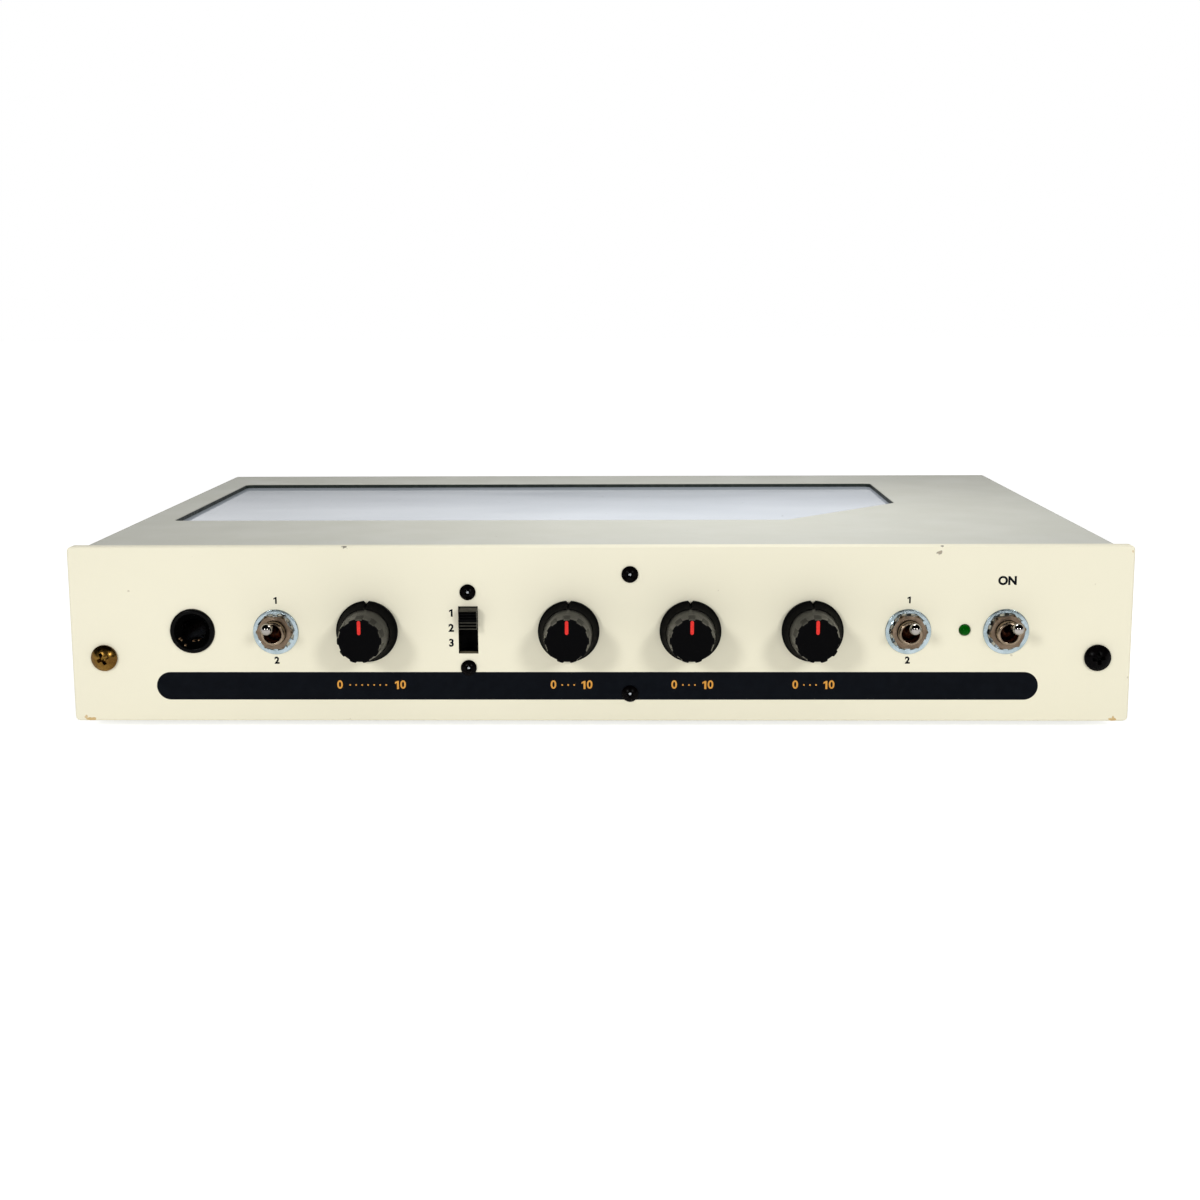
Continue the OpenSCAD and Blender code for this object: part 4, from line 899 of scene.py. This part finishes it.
# ---------- Mode switch ----------
# A slide switch behind a slot: a black moulded slider with fine ridges and a bevelled top,
# in a plated frame whose well is dark.
slider_low, slider_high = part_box("mode_slider")
slider_x, _, slider_z = middle("mode_slider")
slider_half = (slider_high.x - slider_low.x) / 2 / MM
slider_bottom, slider_top = slider_z - half_height("mode_slider"), slider_z + half_height("mode_slider")
slider_out = (face_y - slider_low.y) / MM
slider_play = 0.25
ridge_pitch, dish_depth = 0.78, 0.62
# The front is dished for a finger, with six ridges across the dish.
outline = [((slider_high.y - face_y) / MM, slider_bottom), (-0.5, slider_bottom)]
for i in range(6):
    z = slider_bottom + 0.12 + i * ridge_pitch
    dish = slider_out - dish_depth * math.sin(math.pi * (i + 0.5) / 6)
    outline += [(-dish + 0.28, z), (-dish - 0.1, z + 0.16), (-dish - 0.1, z + 0.36), (-dish + 0.28, z + 0.52)]
outline += [(-slider_out, slider_top - 0.52), (-slider_out + 0.12, slider_top - 0.44), (-2.2, slider_top),
            ((slider_high.y - face_y) / MM, slider_top)]
slider = bmesh.new()
ends = [[slider.verts.new(at(slider_x + slider_play + side * slider_half, y, z)) for y, z in outline]
        for side in (-1, 1)]
slider_faces = thicken(slider, *ends)
# The crests of the three lowest ridges, the bevel and the top take a lighter grey: painted highlight where
# light catches them.
for highlit in (3, 7, 11, 27, 28):
    slider_faces[highlit].material_index = 1
satin_black = mottled("satin_black", srgb(4, 4, 5), srgb(7, 7, 7),
                      (700, 0.6), 0.3, (1100, 0.28, 0.44), 0.04)
specks(satin_black, 2200, srgb(90, 86, 78), 0.3, 0.86)
grain(satin_black, 4500, 0.006)
# The lighter grey is painted highlight.
painted_ridge_highlight = mottled("painted_ridge_highlight", srgb(70, 68, 60), srgb(56, 54, 48),
                       (900, 0.8), 0.5, (1100, 0.4, 0.6), 0.1)
piece("slide_button", slider, "slider_plastic", "mode_slider", [satin_black, painted_ridge_highlight],
      "mode_slider", sharp=20)
well_black = mottled("switch_well", srgb(7, 7, 7), srgb(14, 14, 12),
                     (600, 0.7), 0.6, (900, 0.5, 0.75), 0.05)
dress(well_black, "mode_switch_frame")

# The cut edge of the slot in the panel has taken no enamel and is dull. Its walls are dark
# brown, painted shade, and its sill a lighter olive, painted light where a little light falls on it.
slot_half, slot_rise, cut_depth = 2.6, 6.35, 2.9
slot_low, slot_high = switch_z - slot_rise, switch_z + slot_rise
slot_edge = bmesh.new()
outlines = [[(x * (slot_half - inset), z) for x, z in
             ((-1, slot_low + inset), (1, slot_low + inset), (1, slot_high - inset), (-1, slot_high - inset))]
            for inset in (0.01, 0.06)]
band(slot_edge, *outlines, -cut_depth, -0.06, facing("front", switch_x, 0, 0))
block(slot_edge, (-slot_half + 0.1, slot_low + 0.06, 0.1 - cut_depth),
      (slot_half - 0.1, slot_low + 0.09, -0.1), facing("front", switch_x, 0, 0), paint=1)
# Dark brown painted shade for the walls, and a lighter olive painted light for the sill.
slot_wall_shade = mottled("slot_wall_shade", srgb(40, 34, 18), srgb(26, 22, 12),
                     (900, 0.8), 0.6, (1100, 0.5, 0.7), 0.1)
slot_sill_light = mottled("slot_sill_light", srgb(150, 142, 116), srgb(126, 118, 94),
                     (900, 0.8), 0.6, (1100, 0.5, 0.7), 0.1)
piece("slot_cut_edge", slot_edge, "zinc_sheet", "case", [slot_wall_shade, slot_sill_light])


# ---------- Power lamp ----------
# A 3 mm lamp of clear green epoxy, not lit, pushed through the panel from behind.
lamp_x, _, lamp_z = middle("power_lamp")
lens_r = 1.5
lens = bmesh.new()
lathe(lens, [(0, -4), (lens_r + 0.4, -4), (lens_r + 0.4, -3), (lens_r, -3)]
      + arc((0, 0), lens_r, 0, 90, 12)[:-1] + [(0, lens_r)], facing("front", lamp_x, 0, lamp_z), 40)
for lead in (-0.7, 0.7):
    block(lens, (lead - 0.2, -0.2, -11), (lead + 0.2, 0.2, -4), facing("front", lamp_x, 0, lamp_z),
          paint=1)
green_epoxy = mottled("green_epoxy", srgb(0, 74, 4), srgb(0, 92, 8),
                      (900, 0.8), 0.1, (1500, 0.06, 0.12), 0.04)
piece("green_lens", lens, "lamp_lens", "case", [green_epoxy, zinc_plate], "power_lamp")


# ---------- Input jack ----------
# A moulded quarter inch jack: a rounded lip round the mouth, and bronze leaf springs that
# catch the light low inside the bore.
jack_x, _, jack_z = middle("input_jack")
nose_r, nose_lip, jack_mouth, bore_r = 5.9, 0.8, 4.7, 3.25
lip_round, mouth_round, mouth_depth = 0.45, 0.35, 2.2
jack_half_w, jack_half_h, jack_body, jack_seat = 8, 10, 20, 3
jack_hole = nose_r * 0.72


def jack_solid(place, outer_r, lip, mouth, depth, seat):
    """A jack that looks along Z of place: its nose and bore, turned."""
    solid = bmesh.new()
    profile = ([(bore_r, -seat - jack_body), (outer_r, -seat - jack_body), (outer_r, lip - lip_round)]
               + arc((outer_r - lip_round, lip - lip_round), lip_round, 0, 90, 6)
               + arc((mouth + mouth_round, lip - mouth_round), mouth_round, 90, 170, 5)
               + [(bore_r, lip - depth), (bore_r, lip - depth - 1)])
    lathe(solid, profile, place, 96, closed=True)
    return solid


def walls(solid, place, half_w, half_h, hole, front, back):
    """The four walls of a body round a square hole, between two heights of place."""
    for low, high in (((-half_w, hole), (half_w, half_h)), ((-half_w, -half_h), (half_w, -hole)),
                      ((-half_w, -hole), (-hole, hole)), ((hole, -hole), (half_w, hole))):
        block(solid, (*low, back), (*high, front), place)


jack_black = mottled("jack_black", srgb(3, 3, 3), srgb(6, 6, 6), (700, 0.6), 0.2, (1100, 0.16, 0.28), 0.05)
grain(jack_black, 4500, 0.005)
front_place = facing("front", jack_x, 0, jack_z)
jack = jack_solid(front_place, nose_r, nose_lip, jack_mouth, mouth_depth, jack_seat)
walls(jack, front_place, jack_half_w, jack_half_h, jack_hole, -jack_seat, -jack_seat - jack_body)
piece("jack_socket", jack, "jack_plastic", "case", [jack_black], "input_jack")
leaf_bronze = plated("leaf_bronze", srgb(206, 172, 132), srgb(150, 112, 78), 0.42)
leaf_thick = 0.12
springs = bmesh.new()
for angle, reach, depth, wide in ((-150, 3.9, 0.9, 0.13), (-141, 3.8, 1.1, 0.2), (-118, 4.1, 0.6, 0.2),
                                  (-94, 2.8, 2.6, 0.26), (-68, 2.85, 2.7, 0.2)):
    turn = front_place @ Matrix.Rotation(math.radians(angle), 4, "Z")
    tip = nose_lip - depth
    arch = [(reach + 0.15, tip + 0.35), (reach - 0.1, tip), (reach - 0.05, tip - 0.9),
            (reach + 0.1, tip - 1.6), (max(reach, bore_r) + 0.3, tip - 4)]
    for (r0, z0), (r1, z1) in zip(arch, arch[1:]):
        corners = ((r0, z0, -1), (r1, z1, -1), (r1, z1, 1), (r0, z0, 1))
        thicken(springs, *([springs.verts.new(turn @ Vector((r + out, side * wide, z)))
                            for r, z, side in corners] for out in (0, leaf_thick)))
piece("leaf_springs", springs, "contact_bronze", "case", [leaf_bronze], "jack_contacts")


# ---------- Rear jacks and power inlet ----------
# Two more quarter inch jacks, held by hex nuts, and a barrel inlet for a mains adapter.
wall_y = (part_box("chassis_tray")[1].y - face_y) / MM
rear_low, rear_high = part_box("rear_jacks")
rear_xs = [rear_low.x / MM + jack_half_w, rear_high.x / MM - jack_half_w]
rear_out, rear_nose_r, rear_mouth_depth, rear_seat, wall_gap = 3.2, 4.6, 0.5, 1.2, 0.1
rear_nut_flats, rear_nut_height = 12, 2
rear = []
for x in rear_xs:
    back_place = facing("back", x, wall_y, row_z)
    solid = jack_solid(back_place, rear_nose_r, rear_out, bore_r + mouth_round, rear_mouth_depth, rear_seat)
    walls(solid, back_place, jack_half_w, jack_half_h, jack_hole, -rear_seat - wall_gap,
          -rear_seat - jack_body)
    rear.append(solid)
piece("rear_sockets", join(rear), "jack_plastic", "case", [jack_black], "rear_jacks")
rear_nuts = bmesh.new()
for x in rear_xs:
    lathe(rear_nuts, nut_profile(rear_nut_flats, rear_nut_height, rear_nose_r + 0.1),
          facing("back", x, wall_y, row_z), 96, hexagon(rear_nut_flats, rear_nose_r + 0.1), closed=True)
piece("rear_hex_nuts", rear_nuts, "nut_nickel", "case", [dull_nickel], "rear_jack_nuts")
inlet_nose_r, inlet_bore_r, inlet_pin_r, inlet_out, inlet_round = 4.2, 2.9, 1.05, 0.6, 0.25
inlet_half_w, inlet_half_h, inlet_hole = 5, 6, 3
inlet_floor, inlet_back = -9, -15.2
inlet = bmesh.new()
inlet_place = facing("back", middle("power_inlet")[0], wall_y, row_z)
lathe(inlet, [(inlet_bore_r, inlet_floor), (inlet_nose_r, inlet_floor),
              (inlet_nose_r, inlet_out - inlet_round)]
      + arc((inlet_nose_r - inlet_round, inlet_out - inlet_round), inlet_round, 0, 90, 4)
      + [(inlet_bore_r + 0.25, inlet_out), (inlet_bore_r, inlet_out - 0.2)], inlet_place, 64, closed=True)
walls(inlet, inlet_place, inlet_half_w, inlet_half_h, inlet_hole, -rear_seat - wall_gap, inlet_back)
block(inlet, (-inlet_hole, -inlet_hole, inlet_back), (inlet_hole, inlet_hole, inlet_floor - 0.5), inlet_place)
lathe(inlet, [(0, inlet_floor - 0.6), (inlet_pin_r, inlet_floor - 0.6), (inlet_pin_r, -1.6), (0.7, -1.25),
              (0, -1.25)], inlet_place, 32, paint=1)
piece("barrel_inlet", inlet, "jack_plastic", "case", [jack_black, zinc_plate], "power_inlet")


# ---------- Inside: board, deck and brackets ----------
# A green board over the floor of the tray carries the electronics; above it, an aluminium
# deck on standoffs carries the tape transport.
laminate = mottled("board_laminate", srgb(34, 104, 58), srgb(28, 88, 50),
                   (300, 0.8), 0.35, (300, 0.3, 0.45))
specks(laminate, 500, srgb(190, 190, 180), 0.8, 0.66)
dress(laminate, "circuit_board")
moulded = mottled("board_black", srgb(40, 41, 44), srgb(54, 55, 58), (500, 0.8), 0.5, (700, 0.42, 0.6))
dress(moulded, "board_parts")
dress(zinc_plate, "panel_brackets", "standoffs")
deck_alloy = plated("deck_alloy", srgb(196, 199, 201), srgb(180, 184, 187), 0.42, 400, 0.01)
grain(deck_alloy, 2200, 0.02, (0.02, 1, 1))
dress(deck_alloy, "deck_plate", "head_plate")
dress(black_oxide, "deck_screws")


# ---------- Tape transport ----------
# Heads in mu-metal cans, a capstan with its flywheel driven by a belt, white acetal guide
# rollers, a rubber pinch roller on its arm, and the loop of brown tape.
head_can = plated("head_can", srgb(206, 208, 210), srgb(184, 186, 190), 0.22, 900)
dress(head_can, "tape_heads", "erase_head")
motor_can = plated("motor_can", srgb(188, 192, 196), srgb(168, 172, 176), 0.3, 600)
dress(motor_can, "motor")
turned_brass = plated("turned_brass", srgb(206, 174, 104), srgb(178, 142, 78), 0.24, 900)
dress(turned_brass, "flywheel", "motor_pulley", "capstan_bearing")
dress(shaft_steel, "capstan_shaft", "roller_posts")
dress(zinc_plate, "pinch_arm", "tension_arm")
acetal = mottled("white_acetal", srgb(232, 231, 226), srgb(222, 220, 212),
                 (500, 0.7), 0.35, (600, 0.28, 0.42))
dress(acetal, "guide_roller_front", "guide_roller_right", "guide_roller_rear", "tension_roller")
soft_rubber = mottled("roller_rubber", srgb(40, 40, 41), srgb(52, 51, 50),
                      (500, 0.8), 0.75, (700, 0.65, 0.85), 0.3)
dress(soft_rubber, "pinch_roller", "drive_belt")
oxide_tape = mottled("oxide_tape", srgb(98, 66, 46), srgb(86, 57, 40), (400, 0.8), 0.28, (500, 0.2, 0.34))
dress(oxide_tape, "tape_loop")
